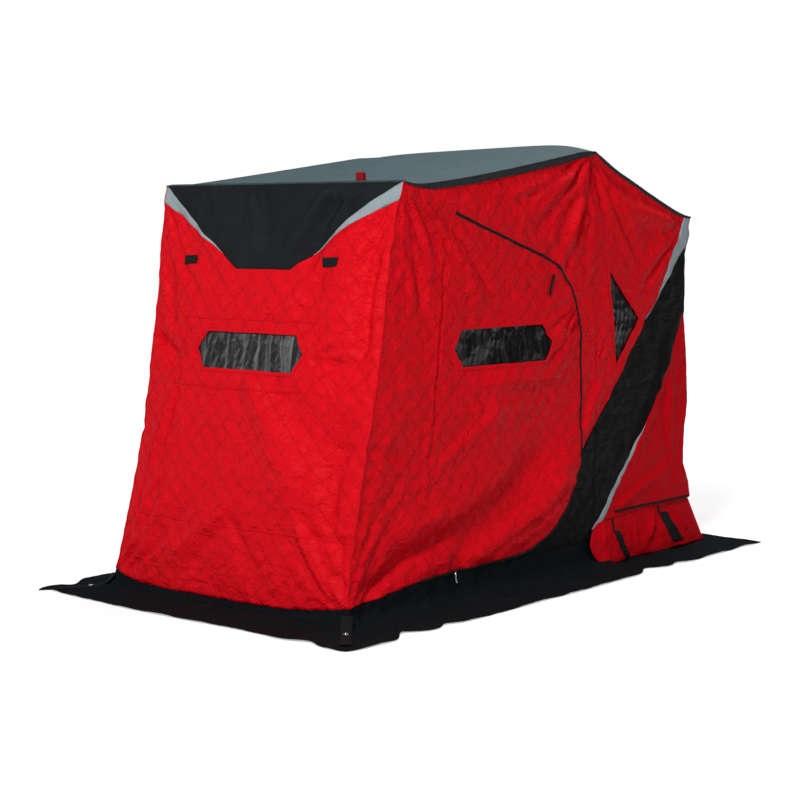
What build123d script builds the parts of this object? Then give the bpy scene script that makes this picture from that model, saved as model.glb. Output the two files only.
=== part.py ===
from build123d import *
import math
import os

# Flip-over ice fishing hut: quilted fabric hood on nested hoops that pivot on a sled.
# +X is to the right seen from the front, +Y runs from the front to the sled, +Z is up.
# The origin is on the ice, at the middle of the skirt's outline. Lengths are millimetres.

# ------------------------------------------------------------------ driving dimensions

# Hood: side profile as (y, z) corners of the outer cloth, and its width
WIDTH = 1424.0
FRONT_BASE = (-1355.0, 0.0)
FRONT_TOP = (-985.0, 1816.0)
RIDGE = (430.0, 2000.0)
BACK_TOP = (1286.0, 1686.0)
BACK_HEM = (1300.0, 262.0)
CLOTH = 8.0  # quilted, insulated wall cloth
SEAM = 0.3  # gap left where one piece seats against another
WALL_FOOT_END_Y = 482.0  # behind this the side cloth stops at the hem, over the sled

# Kick band and ground skirt, one black cloth that is bent at the ice
SKIRT_REACH = 255.0
SKIRT_CLOTH = 4.0
KICK_FRONT_Z = 92.0
KICK_HINGE_Z = 128.0
KICK_REAR_Z = 145.0

# Zipped side door, as (y, z) corners; the front edge is the fold that it swings on
HINGE_FOOT = (-862.0, 133.0)
HINGE_HEAD = (-641.0, 1721.0)
DOOR_REAR_Y = 300.0
DOOR_SILL_REAR_Z = 152.0
DOOR_HEAD_REAR_Z = 1416.0
DOOR_LOW_RADIUS = 500.0
DOOR_HIGH_RADIUS = 400.0
DOOR_CLEARANCE = 5.0
FOLD_GAP = 0.4
DOOR_POST_TOP_Z = 1126.0
ZIP_TAPE = 12.0
ZIP_THICKNESS = 1.5

# Hexagonal windows: length over the points, length of the flats, height
DOOR_WINDOW = (690.0, 575.0, 164.0)
DOOR_WINDOW_CENTRE = (-297.0, 1114.0)
FRONT_WINDOW = (640.0, 530.0, 160.0)
FRONT_WINDOW_Z = 1092.0
REAR_WINDOW = ((560.0, 1415.0), (803.0, 1191.0), (610.0, 979.0))
PANE = 2.0
PANE_LAP = 14.0

# Black crest of the front wall and the reflective wedges beside it
CREST_FOOT_HALF = 162.0
CREST_FOOT_Z = 1448.0
WEDGE_OUTER_DROP = 76.0
WEDGE_TIP_X = 251.0
HOOK_PATCH = (90.0, 38.0, 2.0)
HOOK_PATCH_CENTRE = (432.0, 1482.0)

# Black stripe of the side wall: (y, z) ends and middles of its two curved edges
STRIPE_FRONT_EDGE = ((1262.0, 1730.0), (760.0, 1062.0), (312.0, 600.0))
STRIPE_REAR_EDGE = ((1330.0, 1290.0), (882.0, 656.0), (405.0, 185.0))
UPPER_BAND_EDGE = ((1208.0, 1740.0), (1010.0, 1432.0), (868.0, 1186.0))
LOWER_BAND_EDGE = ((900.0, 680.0), (668.0, 366.0), (462.0, 190.0))

# Sled flap, hanging from the hem over the sled's side and back, and its straps
FLAP_CLOTH = 6.0
FLAP_FOOT_Z = 20.0
FLAP_SIDE_FLARE = 36.0
FLAP_BACK_FLARE = 115.0
FLAP_NOSE = ((483.0, 262.0), (483.0, 204.0), (440.0, 190.0), (398.0, 130.0), (480.0, 20.0))
STRAP = (50.0, 105.0, 3.0)
STRAP_DROP = 3.0  # from the hem down to the strap
STRAP_Y = (640.0, 1010.0)

# Roof tab and front corner anchor tabs, webbing
ROOF_TAB = (45.0, 3.0, 35.0)
ROOF_TAB_PLACE = (330.0, -820.0)
ANCHOR_TAB = (50.0, 2.0)
ANCHOR_TAB_INSET = 30.0

# Pole frame: square aluminium tube, hoops nested side by side on the pivot plates
TUBE = 25.0
TUBE_WALL = 2.0
HOOP_BEND = 80.0
PLATE = 3.6
PIVOT_Z = 345.0
BASE_PIVOT = (392.0, 330.0)
REAR_PIVOT_SETBACK = 27.0
TUBE_END = 20.0  # tube beyond its pin
PIN_RADIUS = 5.0
PIN_HEAD_RADIUS = 9.0
PIN_HEAD = 3.0
ARM_PIVOT_Z = 1500.0
SPREADER = 19.0
SPREADER_X = 450.0
CLIP_LENGTH = 40.0
CLIP_WALL = 4.0
CLIP_LIP_DROP = 4.0  # the clip's lips stop this far below the bar's top
BASE_RISE_Y = 60.0

# Moulded sled tub
SLED_FRONT_Y = 400.0
SLED_RIM_Z = 296.0
SLED_LIP = 56.0
SLED_RIM_WIDTH = 64.0
SLED_WALL = 5.0
SLED_FLOOR_Z = 18.0
SLED_SIDE_DRAFT = 50.0
SLED_END_DRAFT = 70.0
SLED_CORNER = 70.0
RUNNER = (46.0, 720.0)
RUNNER_PITCH = 360.0
RUNNER_RAMP = 70.0
FLUTE_WIDTH = 96.0
FLUTE_DEPTH = 12.0
FLUTE_TOP_DROP = 48.0  # from the rim down to the flute's upper end
FLUTE_PITCH = 190.0
FLUTES = 4  # pressed into each long wall
PLATE_CORNER = 9.0

# ------------------------------------------------------------------ derived places

HALF = WIDTH / 2
PROFILE = [FRONT_BASE, FRONT_TOP, RIDGE, BACK_TOP, BACK_HEM]
SKIRT_HALF_X = HALF + SKIRT_REACH
SKIRT_HALF_Y = -FRONT_BASE[0] + SKIRT_REACH
FAR = 4000.0  # beyond the whole hut, for cutting shapes
TUBE_DIAGONAL = TUBE / math.sqrt(2)
OUTER_LEG_X = HALF - CLOTH - SEAM - TUBE / 2
PLATE_X = OUTER_LEG_X - TUBE / 2 - SEAM - PLATE / 2
INNER_LEG_X = PLATE_X - PLATE / 2 - SEAM - TUBE / 2


def meet(start, along, other_start, other_along):
    """Where two lines in a plane cross, each given by a point and a direction."""
    cross = along[0] * other_along[1] - along[1] * other_along[0]
    gap = (other_start[0] - start[0], other_start[1] - start[1])
    step = (gap[0] * other_along[1] - gap[1] * other_along[0]) / cross
    return (start[0] + along[0] * step, start[1] + along[1] * step)


def towards(start, end):
    """Unit direction from one point to another in a plane."""
    run = (end[0] - start[0], end[1] - start[1])
    length = math.hypot(*run)
    return (run[0] / length, run[1] / length)


def inset(corners, depth):
    """An open profile moved inwards by depth, its two ends kept at their own heights."""
    lines = []
    for start, end in zip(corners, corners[1:]):
        run = towards(start, end)
        lines.append(((start[0] + run[1] * depth, start[1] - run[0] * depth), run))
    level = (1.0, 0.0)
    inner = [meet(*lines[0], corners[0], level)]
    for line, following in zip(lines, lines[1:]):
        inner.append(meet(*line, *following))
    inner.append(meet(*lines[-1], corners[-1], level))
    return inner


INNER = inset(PROFILE, CLOTH)
BAR_LINE = inset(PROFILE, CLOTH + SEAM + TUBE_DIAGONAL)


# ------------------------------------------------------------------ shared shapes


def polygon(points):
    """Flat face with straight edges through the points."""
    return make_face(Polyline(*points, close=True))


def span(section, half_width):
    """A (y, z) section run across the hut, from -half_width to +half_width."""
    return extrude(Plane.YZ.offset(-half_width) * section, 2 * half_width)


def side_plate(face, outer=HALF, thickness=CLOTH):
    """A (y, z) face as a plate of the right side wall, outer face at x = outer."""
    return extrude(Plane.YZ.offset(outer - thickness) * face, thickness)


def hexagon(size):
    """Window outline that is long across its points, with flat top and bottom."""
    length, flat, height = size
    return polygon([
        (-length / 2, 0), (-flat / 2, height / 2), (flat / 2, height / 2),
        (length / 2, 0), (flat / 2, -height / 2), (-flat / 2, -height / 2),
    ])


def mirrored(shape):
    """The same piece on the left side."""
    return mirror(shape, about=Plane.YZ)


def bent_path(points, radius):
    """Straight runs through the points, joined at each corner by a tangent arc."""
    spots = [Vector(*point) for point in points]
    edges = []
    start = spots[0]
    for before, corner, after in zip(spots, spots[1:], spots[2:]):
        back = (before - corner).normalized()
        on = (after - corner).normalized()
        half_angle = math.radians(back.get_angle(on)) / 2
        setback = radius / math.tan(half_angle)
        middle = (back + on).normalized() * (radius / math.sin(half_angle) - radius)
        edges.append(Line(start, corner + back * setback))
        arc_end = corner + on * setback
        edges.append(ThreePointArc(corner + back * setback, corner + middle, arc_end))
        start = arc_end
    edges.append(Line(start, spots[-1]))
    return Wire(edges)


def square_tube(path, across=(1, 0, 0)):
    """Hollow square tube along the path, with one side square to the given direction."""
    section = Rectangle(TUBE, TUBE)
    section -= Rectangle(TUBE - 2 * TUBE_WALL, TUBE - 2 * TUBE_WALL)
    start = Plane(origin=path @ 0, x_dir=across, z_dir=path % 0)
    return sweep(start * section, path)


def pin_hole(y, z, x):
    """Bore across a tube, with running room round its pin."""
    bore = Cylinder(PIN_RADIUS + SEAM, 2 * TUBE)
    return Pos(x, y, z) * Rot(0, 90, 0) * bore


# ------------------------------------------------------------------ outlines of the side wall

hinge_run = towards(HINGE_FOOT, HINGE_HEAD)
hinge_normal = (hinge_run[1], -hinge_run[0])


def beside_fold(offset):
    """Everything behind the door's fold line, from offset behind the fold."""
    foot = (HINGE_FOOT[0] + hinge_normal[0] * offset, HINGE_FOOT[1] + hinge_normal[1] * offset)
    low = (foot[0] - hinge_run[0] * FAR, foot[1] - hinge_run[1] * FAR)
    high = (foot[0] + hinge_run[0] * FAR, foot[1] + hinge_run[1] * FAR)
    return polygon([low, (low[0] + FAR * 2, low[1]), (high[0] + FAR * 2, high[1]), high])


def box_face(low_y, low_z, high_y, high_z):
    """Upright rectangle in the side plane."""
    return polygon([(low_y, low_z), (high_y, low_z), (high_y, high_z), (low_y, high_z)])


def door_outline():
    """The doorway's zip line, closed along the fold."""
    rear_low = (DOOR_REAR_Y, DOOR_SILL_REAR_Z)
    rear_high = (DOOR_REAR_Y, DOOR_HEAD_REAR_Z)
    face = polygon([HINGE_FOOT, rear_low, rear_high, HINGE_HEAD])
    for corner, radius in ((rear_low, DOOR_LOW_RADIUS), (rear_high, DOOR_HIGH_RADIUS)):
        vertex = face.vertices().sort_by_distance(Vector(*corner))[0]
        face = fillet(vertex, radius)
    return face


def curved(edge):
    """Arc through the two ends and the middle of a stripe's edge."""
    return ThreePointArc(*edge)


def stripe_outline():
    """Black stripe from the back top corner down to the kick band and under the door."""
    front = curved(STRIPE_FRONT_EDGE)
    rear = curved(STRIPE_REAR_EDGE)
    # The stripe's front end lies in the doorway, which is cut away from it.
    inside_door = (HINGE_FOOT[0] / 3, DOOR_LOW_RADIUS / 2)
    return make_face([
        front,
        Line(front @ 0, (FAR, FAR)),
        Line((FAR, FAR), rear @ 0),
        rear,
        Line(rear @ 1, (STRIPE_REAR_EDGE[2][0], 0)),
        Line((STRIPE_REAR_EDGE[2][0], 0), (inside_door[0], 0)),
        Line((inside_door[0], 0), inside_door),
        Line(inside_door, front @ 1),
    ])


DOOR = door_outline()
DOORWAY = offset(DOOR, DOOR_CLEARANCE) & beside_fold(-FOLD_GAP)
SIDE_WALL = polygon([
    INNER[0], *INNER[1:4], INNER[4],
    (WALL_FOOT_END_Y, BACK_HEM[1]), (WALL_FOOT_END_Y, 0),
])
KICK = polygon([
    (-FAR, KICK_FRONT_Z), (FRONT_BASE[0], KICK_FRONT_Z), (HINGE_FOOT[0], KICK_HINGE_Z),
    (WALL_FOOT_END_Y, KICK_REAR_Z), (FAR, KICK_REAR_Z), (FAR, -FAR), (-FAR, -FAR),
])
STRIPE = stripe_outline()


def upper_band_outline():
    """Reflective band in front of the stripe, running out where it meets it."""
    low = UPPER_BAND_EDGE[2]
    edge = curved(UPPER_BAND_EDGE)
    cover = make_face([edge, Line(edge @ 1, (FAR, low[1])), Line((FAR, low[1]), (FAR, FAR)),
                       Line((FAR, FAR), edge @ 0)])
    return cover - offset(STRIPE, SEAM)


def lower_band_outline():
    """Reflective band behind the stripe, running out at its upper end."""
    edge = curved(LOWER_BAND_EDGE)
    stripe_front_foot, stripe_rear_foot = STRIPE_FRONT_EDGE[2], STRIPE_REAR_EDGE[2]
    cover = make_face([edge, Line(edge @ 1, stripe_rear_foot),
                       Line(stripe_rear_foot, stripe_front_foot),
                       Line(stripe_front_foot, edge @ 0)])
    return cover - offset(STRIPE, SEAM)


UPPER_BAND = upper_band_outline()
LOWER_BAND = lower_band_outline()
CLOTH_SIDE = SIDE_WALL - KICK
ABOVE_POST = box_face(-FAR, DOOR_POST_TOP_Z, RIDGE[0], FAR)
BELOW_POST = box_face(-FAR, -FAR, RIDGE[0], DOOR_POST_TOP_Z)
BEHIND_RIDGE = box_face(RIDGE[0], -FAR, FAR, FAR)


def largest(shape):
    """The biggest face of a cut outline, without slivers beside it."""
    return shape.faces().sort_by(SortBy.AREA)[-1]


# ------------------------------------------------------------------ pieces of one side


def side_front_panel():
    """Red cloth from the front corner to the door's fold."""
    return side_plate(largest(CLOTH_SIDE - beside_fold(-FOLD_GAP)))


def over_door_panel():
    """Red cloth between the doorway's head and the roof, up to the ridge seam."""
    face = (CLOTH_SIDE & beside_fold(-FOLD_GAP) & ABOVE_POST) - DOORWAY
    return side_plate(largest(face))


def door_post_panel():
    """Narrow red cloth between the doorway and the ridge seam, above the stripe."""
    face = (CLOTH_SIDE & beside_fold(0) & BELOW_POST) - DOORWAY - offset(STRIPE, SEAM)
    upright = box_face(DOOR_REAR_Y - DOOR_LOW_RADIUS, DOOR_SILL_REAR_Z, FAR, FAR)
    return side_plate(largest(face & upright))


def rear_window_outline():
    """Triangular window beside the sled seat."""
    return polygon(REAR_WINDOW)


def rear_side_panel():
    """Red cloth behind the ridge seam, with the triangular window cut through."""
    face = (CLOTH_SIDE & BEHIND_RIDGE) - offset(STRIPE, SEAM)
    face = largest(face - UPPER_BAND)
    return side_plate(face - rear_window_outline())


def rear_corner_panel():
    """Red cloth behind the stripe, ending at the hem over the sled."""
    face = (CLOTH_SIDE & BEHIND_RIDGE) - offset(STRIPE, SEAM) - LOWER_BAND
    rear_half = polygon([STRIPE_REAR_EDGE[0], (FAR, FAR), (FAR, -FAR), (0, -FAR),
                         STRIPE_REAR_EDGE[2], STRIPE_REAR_EDGE[1]])
    return side_plate(largest(face & rear_half))


def side_stripe():
    """Black stripe of the side wall."""
    return side_plate(largest((CLOTH_SIDE & STRIPE) - DOORWAY))


def side_bands():
    """Reflective bands along the two edges of the stripe."""
    upper = largest(CLOTH_SIDE & UPPER_BAND)
    lower = largest(CLOTH_SIDE & LOWER_BAND)
    return [side_plate(upper), side_plate(lower)]


def door_leaf():
    """Zipped door cloth with its window opening."""
    window = Pos(*DOOR_WINDOW_CENTRE) * hexagon(DOOR_WINDOW)
    return side_plate((DOOR & beside_fold(FOLD_GAP)) - window)


def pane_plate(outline):
    """Vinyl pane sewn to the inside of the side cloth, lapping its opening."""
    return side_plate(offset(outline, PANE_LAP, kind=Kind.INTERSECTION),
                      HALF - CLOTH - SEAM, PANE)


def door_zip():
    """Zip tape on the fixed cloth round the doorway, open along the fold."""
    tape = offset(DOOR, DOOR_CLEARANCE + ZIP_TAPE) - offset(DOOR, DOOR_CLEARANCE)
    return side_plate(largest(tape & beside_fold(ZIP_TAPE)), HALF + ZIP_THICKNESS, ZIP_THICKNESS)


def flap_plane():
    """Outer face of the sled flap: hangs from the hem and leans outwards below it."""
    drop = BACK_HEM[1] - FLAP_FOOT_Z
    length = math.hypot(drop, FLAP_SIDE_FLARE)
    outward = (drop / length, 0, FLAP_SIDE_FLARE / length)
    return Plane(origin=(HALF - CLOTH + FLAP_CLOTH, 0, BACK_HEM[1]), x_dir=(0, 1, 0), z_dir=outward)


def on_flap(y, z):
    """Place on the flap's outer face at a given y and height."""
    drop = BACK_HEM[1] - FLAP_FOOT_Z
    return (y, (z - BACK_HEM[1]) * math.hypot(drop, FLAP_SIDE_FLARE) / drop)


def back_flare_at(z):
    """How far behind the hem the back flap stands at a height."""
    return FLAP_BACK_FLARE * (BACK_HEM[1] - z) / (BACK_HEM[1] - FLAP_FOOT_Z)


def sled_flap():
    """Red flap that hangs over the sled's side and meets the back flap's inner face."""
    inner_y = INNER[4][0] - SEAM
    outline = [on_flap(y, z - SEAM if z == BACK_HEM[1] else z) for y, z in FLAP_NOSE]
    outline.append(on_flap(inner_y + FLAP_BACK_FLARE, FLAP_FOOT_Z))
    outline.append(on_flap(inner_y + back_flare_at(BACK_HEM[1] - SEAM), BACK_HEM[1] - SEAM))
    return extrude(flap_plane() * polygon(outline), -FLAP_CLOTH)


def flap_straps():
    """Two webbing straps on the side flap, just under the hem."""
    width, length, thickness = STRAP
    straps = []
    for y in STRAP_Y:
        centre = on_flap(y, BACK_HEM[1])
        patch = Pos(centre[0], centre[1] - length / 2 - STRAP_DROP) * Rectangle(width, length)
        straps.append(extrude(flap_plane() * patch, thickness))
    return straps


def side_skirt():
    """Kick band of the side wall and the skirt that lies out on the ice beside it."""
    band = side_plate(largest(SIDE_WALL & KICK))
    front_y = -SKIRT_HALF_Y
    flat = polygon([
        (HALF, FRONT_BASE[0]), (SKIRT_HALF_X, front_y),
        (SKIRT_HALF_X, SKIRT_HALF_Y), (HALF, -FRONT_BASE[0]),
    ])
    return band + extrude(flat, SKIRT_CLOTH)


# ------------------------------------------------------------------ front, roof and back

slope_run = towards(FRONT_BASE, FRONT_TOP)
FRONT_FACE = Plane(
    origin=(0, FRONT_BASE[0], 0), x_dir=(1, 0, 0), z_dir=(0, -slope_run[1], slope_run[0])
)


def up_front(x, z):
    """Place on the sloping front wall, from its x and its height."""
    return (x, z / slope_run[1])


def front_prism(points):
    """Block through the front wall with the given outline of (x, z) points."""
    face = polygon([up_front(x, z) for x, z in points])
    return extrude(FRONT_FACE * face, CLOTH * 2, both=True)


def hood_slab(index):
    """One straight run of the hood, mitred to its neighbours, over the full width."""
    section = polygon([PROFILE[index], PROFILE[index + 1], INNER[index + 1], INNER[index]])
    return span(section, HALF)


def crest_points():
    """Outline of the black crest, wide at the roof and narrow below."""
    top = FRONT_TOP[1]
    return [(-CREST_FOOT_HALF, CREST_FOOT_Z), (CREST_FOOT_HALF, CREST_FOOT_Z),
            (HALF, top), (HALF, top + HALF), (-HALF, top + HALF), (-HALF, top)]


def wedge_points(side):
    """Outline of a reflective wedge under the crest's slanting edge."""
    outer = side * HALF
    run = towards((CREST_FOOT_HALF, CREST_FOOT_Z), (HALF, FRONT_TOP[1]))
    tip_z = CREST_FOOT_Z + (WEDGE_TIP_X - CREST_FOOT_HALF) * run[1] / run[0]
    return [(outer, FRONT_TOP[1]), (side * WEDGE_TIP_X, tip_z),
            (outer, FRONT_TOP[1] - WEDGE_OUTER_DROP)]


def front_wall():
    """Red front cloth below the crest, with the window cut through."""
    wall = hood_slab(0) - front_prism([(-FAR, -FAR), (FAR, -FAR), (FAR, KICK_FRONT_Z),
                                       (-FAR, KICK_FRONT_Z)])
    wall -= front_prism(crest_points())
    for side in (-1, 1):
        wall -= front_prism(wedge_points(side))
    window = Pos(*up_front(0, FRONT_WINDOW_Z)) * hexagon(FRONT_WINDOW)
    return wall - extrude(FRONT_FACE * window, CLOTH * 2, both=True)


def front_crest():
    """Black crest under the roof's front edge."""
    return hood_slab(0) & front_prism(crest_points())


def front_wedges():
    """Reflective wedges on both sides of the crest."""
    return [hood_slab(0) & front_prism(wedge_points(side)) for side in (-1, 1)]


def front_window():
    """Vinyl pane behind the front wall."""
    face = offset(hexagon(FRONT_WINDOW), PANE_LAP, kind=Kind.INTERSECTION)
    face = Pos(*up_front(0, FRONT_WINDOW_Z)) * face
    return extrude(FRONT_FACE.offset(-CLOTH - SEAM) * face, -PANE)


def hook_patches():
    """Small hook-and-loop patches below the crest's ends."""
    length, height, thickness = HOOK_PATCH
    patches = []
    for side in (-1, 1):
        face = Pos(*up_front(side * HOOK_PATCH_CENTRE[0], HOOK_PATCH_CENTRE[1]))
        patches.append(extrude(FRONT_FACE * (face * Rectangle(length, height)), thickness))
    return patches


def front_skirt():
    """Kick band of the front wall and the skirt that lies out on the ice before it."""
    band = hood_slab(0) & front_prism([(-FAR, -FAR), (FAR, -FAR), (FAR, KICK_FRONT_Z),
                                       (-FAR, KICK_FRONT_Z)])
    flat = polygon([(-HALF, FRONT_BASE[0]), (-SKIRT_HALF_X, -SKIRT_HALF_Y),
                    (SKIRT_HALF_X, -SKIRT_HALF_Y), (HALF, FRONT_BASE[0]),
                    (HALF, INNER[0][0]), (-HALF, INNER[0][0])])
    return band + extrude(flat, SKIRT_CLOTH)


def anchor_tabs():
    """Webbing tabs that lie across the skirt's front corners."""
    width, thickness = ANCHOR_TAB
    inner = Vector(HALF + ANCHOR_TAB_INSET, FRONT_BASE[0] - ANCHOR_TAB_INSET)
    outer = Vector(SKIRT_HALF_X - ANCHOR_TAB_INSET, -SKIRT_HALF_Y + ANCHOR_TAB_INSET)
    run = (outer - inner).normalized()
    across = Vector(-run.Y, run.X) * (width / 2)
    face = polygon([inner + across, outer + across, outer - across, inner - across])
    right = Pos(0, 0, SKIRT_CLOTH) * extrude(face, thickness)
    return [right, mirrored(right)]


def roof_tab():
    """Small red webbing tab standing on the front roof."""
    width, thickness, height = ROOF_TAB
    middle_x, front_y = ROOF_TAB_PLACE
    rise = (RIDGE[1] - FRONT_TOP[1]) / (RIDGE[0] - FRONT_TOP[0])
    front_z = FRONT_TOP[1] + rise * (front_y - FRONT_TOP[0])
    back_y, back_z = front_y + thickness, front_z + rise * thickness
    section = polygon([(front_y, front_z), (back_y, back_z),
                       (back_y, front_z + height), (front_y, front_z + height)])
    return Pos(middle_x, 0, 0) * span(section, width / 2)


def back_flap():
    """Red flap that hangs over the sled's back and leans out to the skirt."""
    top_z = BACK_HEM[1] - SEAM
    foot_y = BACK_HEM[0] + FLAP_BACK_FLARE
    section = polygon([
        (BACK_HEM[0] - CLOTH, top_z), (BACK_HEM[0] - CLOTH + FLAP_CLOTH, top_z),
        (foot_y - CLOTH + FLAP_CLOTH, FLAP_FOOT_Z), (foot_y - CLOTH, FLAP_FOOT_Z),
    ])
    top_half = HALF - CLOTH - SEAM
    foot_half = top_half + FLAP_SIDE_FLARE
    outline = Plane.XZ * polygon([(-top_half, BACK_HEM[1]), (top_half, BACK_HEM[1]),
                                  (foot_half, FLAP_FOOT_Z), (-foot_half, FLAP_FOOT_Z)])
    return span(section, HALF + FLAP_SIDE_FLARE) & extrude(outline, -2 * foot_y)


def back_skirt():
    """Skirt that lies out on the ice behind the sled."""
    flat = polygon([(-HALF, -FRONT_BASE[0]), (HALF, -FRONT_BASE[0]),
                    (SKIRT_HALF_X, SKIRT_HALF_Y), (-SKIRT_HALF_X, SKIRT_HALF_Y)])
    return extrude(flat, SKIRT_CLOTH)


# ------------------------------------------------------------------ pole frame


def hoop(pivot, bar, leg_x):
    """Inverted U from the pivots to a cross bar, both given as (y, z)."""
    run = towards(pivot, bar)
    end = (pivot[0] - run[0] * TUBE_END, pivot[1] - run[1] * TUBE_END)
    path = bent_path([(leg_x, *end), (leg_x, *bar), (-leg_x, *bar), (-leg_x, *end)], HOOP_BEND)
    return square_tube(path)


def drilled(frame, spots, leg_x):
    """The hoop with a pin hole through both legs at each (y, z) spot."""
    for spot in spots:
        for side in (-1, 1):
            frame -= pin_hole(*spot, side * leg_x)
    return frame


ridge_pivot = (RIDGE[0], PIVOT_Z)
rear_pivot = (RIDGE[0] + REAR_PIVOT_SETBACK, PIVOT_Z)
ARM_PIVOT = (RIDGE[0], ARM_PIVOT_Z)


def ridge_hoop():
    """Upright hoop under the ridge, on the inner side of the pivot plates."""
    frame = hoop(ridge_pivot, BAR_LINE[2], INNER_LEG_X)
    return drilled(frame, (ridge_pivot, ARM_PIVOT), INNER_LEG_X)


def rear_hoop():
    """Hoop that leans back from the pivots to the back top edge."""
    return drilled(hoop(rear_pivot, BAR_LINE[3], OUTER_LEG_X), (rear_pivot,), OUTER_LEG_X)


def pin(y, z, low_x, high_x):
    """Round pin across the frame, low_x to high_x, with a flat head at its inner end."""
    shank = Pos((low_x + high_x) / 2, y, z) * Rot(0, 90, 0) * Cylinder(PIN_RADIUS, high_x - low_x)
    head = Pos(low_x - PIN_HEAD / 2, y, z) * Rot(0, 90, 0) * Cylinder(PIN_HEAD_RADIUS, PIN_HEAD)
    return shank + head


def arm_pin(y, z):
    """Pin that is fast in an outer arm and runs through the ridge hoop's leg."""
    low_x = INNER_LEG_X - TUBE / 2 - SEAM
    high_x = OUTER_LEG_X + TUBE / 2 - SEAM
    return pin(y, z, low_x, high_x)


def front_hoop():
    """Hoop that reaches forward from the ridge hoop to the front top edge."""
    fast_pin = arm_pin(*ARM_PIVOT)
    return hoop(ARM_PIVOT, BAR_LINE[1], OUTER_LEG_X) + fast_pin + mirrored(fast_pin)


def base_hoop():
    """Hoop on the ice: down from the pivots, forward along the sides, across the front."""
    run = towards((BASE_RISE_Y, TUBE / 2), BASE_PIVOT)
    end = (BASE_PIVOT[0] + run[0] * TUBE_END, BASE_PIVOT[1] + run[1] * TUBE_END)
    front_run = towards(INNER[0], INNER[1])
    front_y = INNER[0][0] + TUBE * front_run[0] / front_run[1] + SEAM + TUBE / 2
    level = TUBE / 2
    half_path = [(OUTER_LEG_X, *end), (OUTER_LEG_X, BASE_RISE_Y, level), (OUTER_LEG_X, front_y, level)]
    other_half = [(-x, y, z) for x, y, z in reversed(half_path)]
    frame = square_tube(bent_path(half_path + other_half, HOOP_BEND))
    return drilled(frame, (BASE_PIVOT,), OUTER_LEG_X)


def bar_clip(bar, upright, run, setback):
    """Moulded clip that hooks under a hoop's bar, its upright given in the side plane.

    A stub runs from it along run, as far as the pole's end.
    """
    half_wide = TUBE / 2 + SEAM + CLIP_WALL
    top = TUBE / 2 - CLIP_LIP_DROP
    place = Plane(origin=(SPREADER_X, *bar), x_dir=(1, 0, 0), z_dir=(0, *upright))
    block = Pos(0, 0, (top - half_wide) / 2) * Box(CLIP_LENGTH, 2 * half_wide, top + half_wide)
    pocket = Box(2 * CLIP_LENGTH, TUBE + 2 * SEAM, TUBE + 2 * SEAM)
    along = Plane(origin=place.origin, x_dir=(1, 0, 0), z_dir=(0, *run))
    stub = Pos(0, 0, setback / 2) * Box(SPREADER, SPREADER, setback)
    return place * block + along * stub - place * pocket


def roof_spreaders():
    """Poles under the roof that hold the front hoop's bar away from the ridge hoop's."""
    front_bar, ridge_bar = BAR_LINE[1], BAR_LINE[2]
    run = towards(ridge_bar, front_bar)
    reach = math.hypot(front_bar[0] - ridge_bar[0], front_bar[1] - ridge_bar[1])
    # The ridge hoop's bar is upright, and the front hoop's bar turns with its arms.
    ridge_setback = (TUBE / 2 + SPREADER / 2 * abs(run[1])) / abs(run[0]) + SEAM
    arm = towards(ARM_PIVOT, front_bar)
    turn = abs(run[0] * arm[1] - run[1] * arm[0])
    front_setback = (TUBE / 2 + SPREADER / 2 * turn) / math.sqrt(1 - turn * turn) + SEAM
    start = (ridge_bar[0] + run[0] * ridge_setback, ridge_bar[1] + run[1] * ridge_setback)
    ring = Rectangle(SPREADER, SPREADER)
    ring -= Rectangle(SPREADER - 2 * TUBE_WALL, SPREADER - 2 * TUBE_WALL)
    place = Plane(origin=(SPREADER_X, *start), x_dir=(1, 0, 0), z_dir=(0, *run))
    right = extrude(place * ring, reach - ridge_setback - front_setback)
    right += bar_clip(ridge_bar, (0, 1), run, ridge_setback)
    right += bar_clip(front_bar, (arm[1], -arm[0]), (-run[0], -run[1]), front_setback)
    return [right, mirrored(right)]


def pivot_plates():
    """Plates that stand on the sled's rim and carry the three hoops on pins."""
    rim_top = SLED_RIM_Z + SEAM
    front_y = BASE_PIVOT[0] - TUBE_END
    back_y = rear_pivot[0] + 2 * TUBE_END
    top_z = PIVOT_Z + TUBE_END
    seat_y = SLED_FRONT_Y + SEAM
    outline = polygon([
        (seat_y, rim_top), (back_y, rim_top), (rear_pivot[0] + TUBE_END, top_z),
        (front_y + TUBE_END, top_z), (front_y, BASE_PIVOT[1]), (front_y, BASE_PIVOT[1] - TUBE_END),
    ])
    outline = fillet(outline.vertices().sort_by(Axis.Y)[-4:], PLATE_CORNER)
    plate = side_plate(outline, PLATE_X + PLATE / 2, PLATE)
    foot_low_x = RIM_HALF - SLED_RIM_WIDTH + PLATE
    foot = Pos((foot_low_x + PLATE_X) / 2, (seat_y + back_y) / 2, rim_top + PLATE / 2)
    foot *= Box(PLATE_X - foot_low_x, back_y - seat_y, PLATE)
    outer_end = OUTER_LEG_X + TUBE / 2 - SEAM
    right = plate + foot + pin(*ridge_pivot, INNER_LEG_X - TUBE / 2 - SEAM, PLATE_X)
    for spot in (rear_pivot, BASE_PIVOT):
        right += pin(*spot, PLATE_X - PLATE / 2, outer_end)
    return [right, mirrored(right)]


def rim_outline(inset):
    """Rounded rectangle of the sled's rim, set in from its outer edge."""
    front_y = SLED_FRONT_Y + inset
    back_y = sled_back_y - inset
    place = Pos(0, (front_y + back_y) / 2, SLED_RIM_Z)
    return place * RectangleRounded(2 * (RIM_HALF - inset), back_y - front_y, SLED_CORNER)


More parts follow.
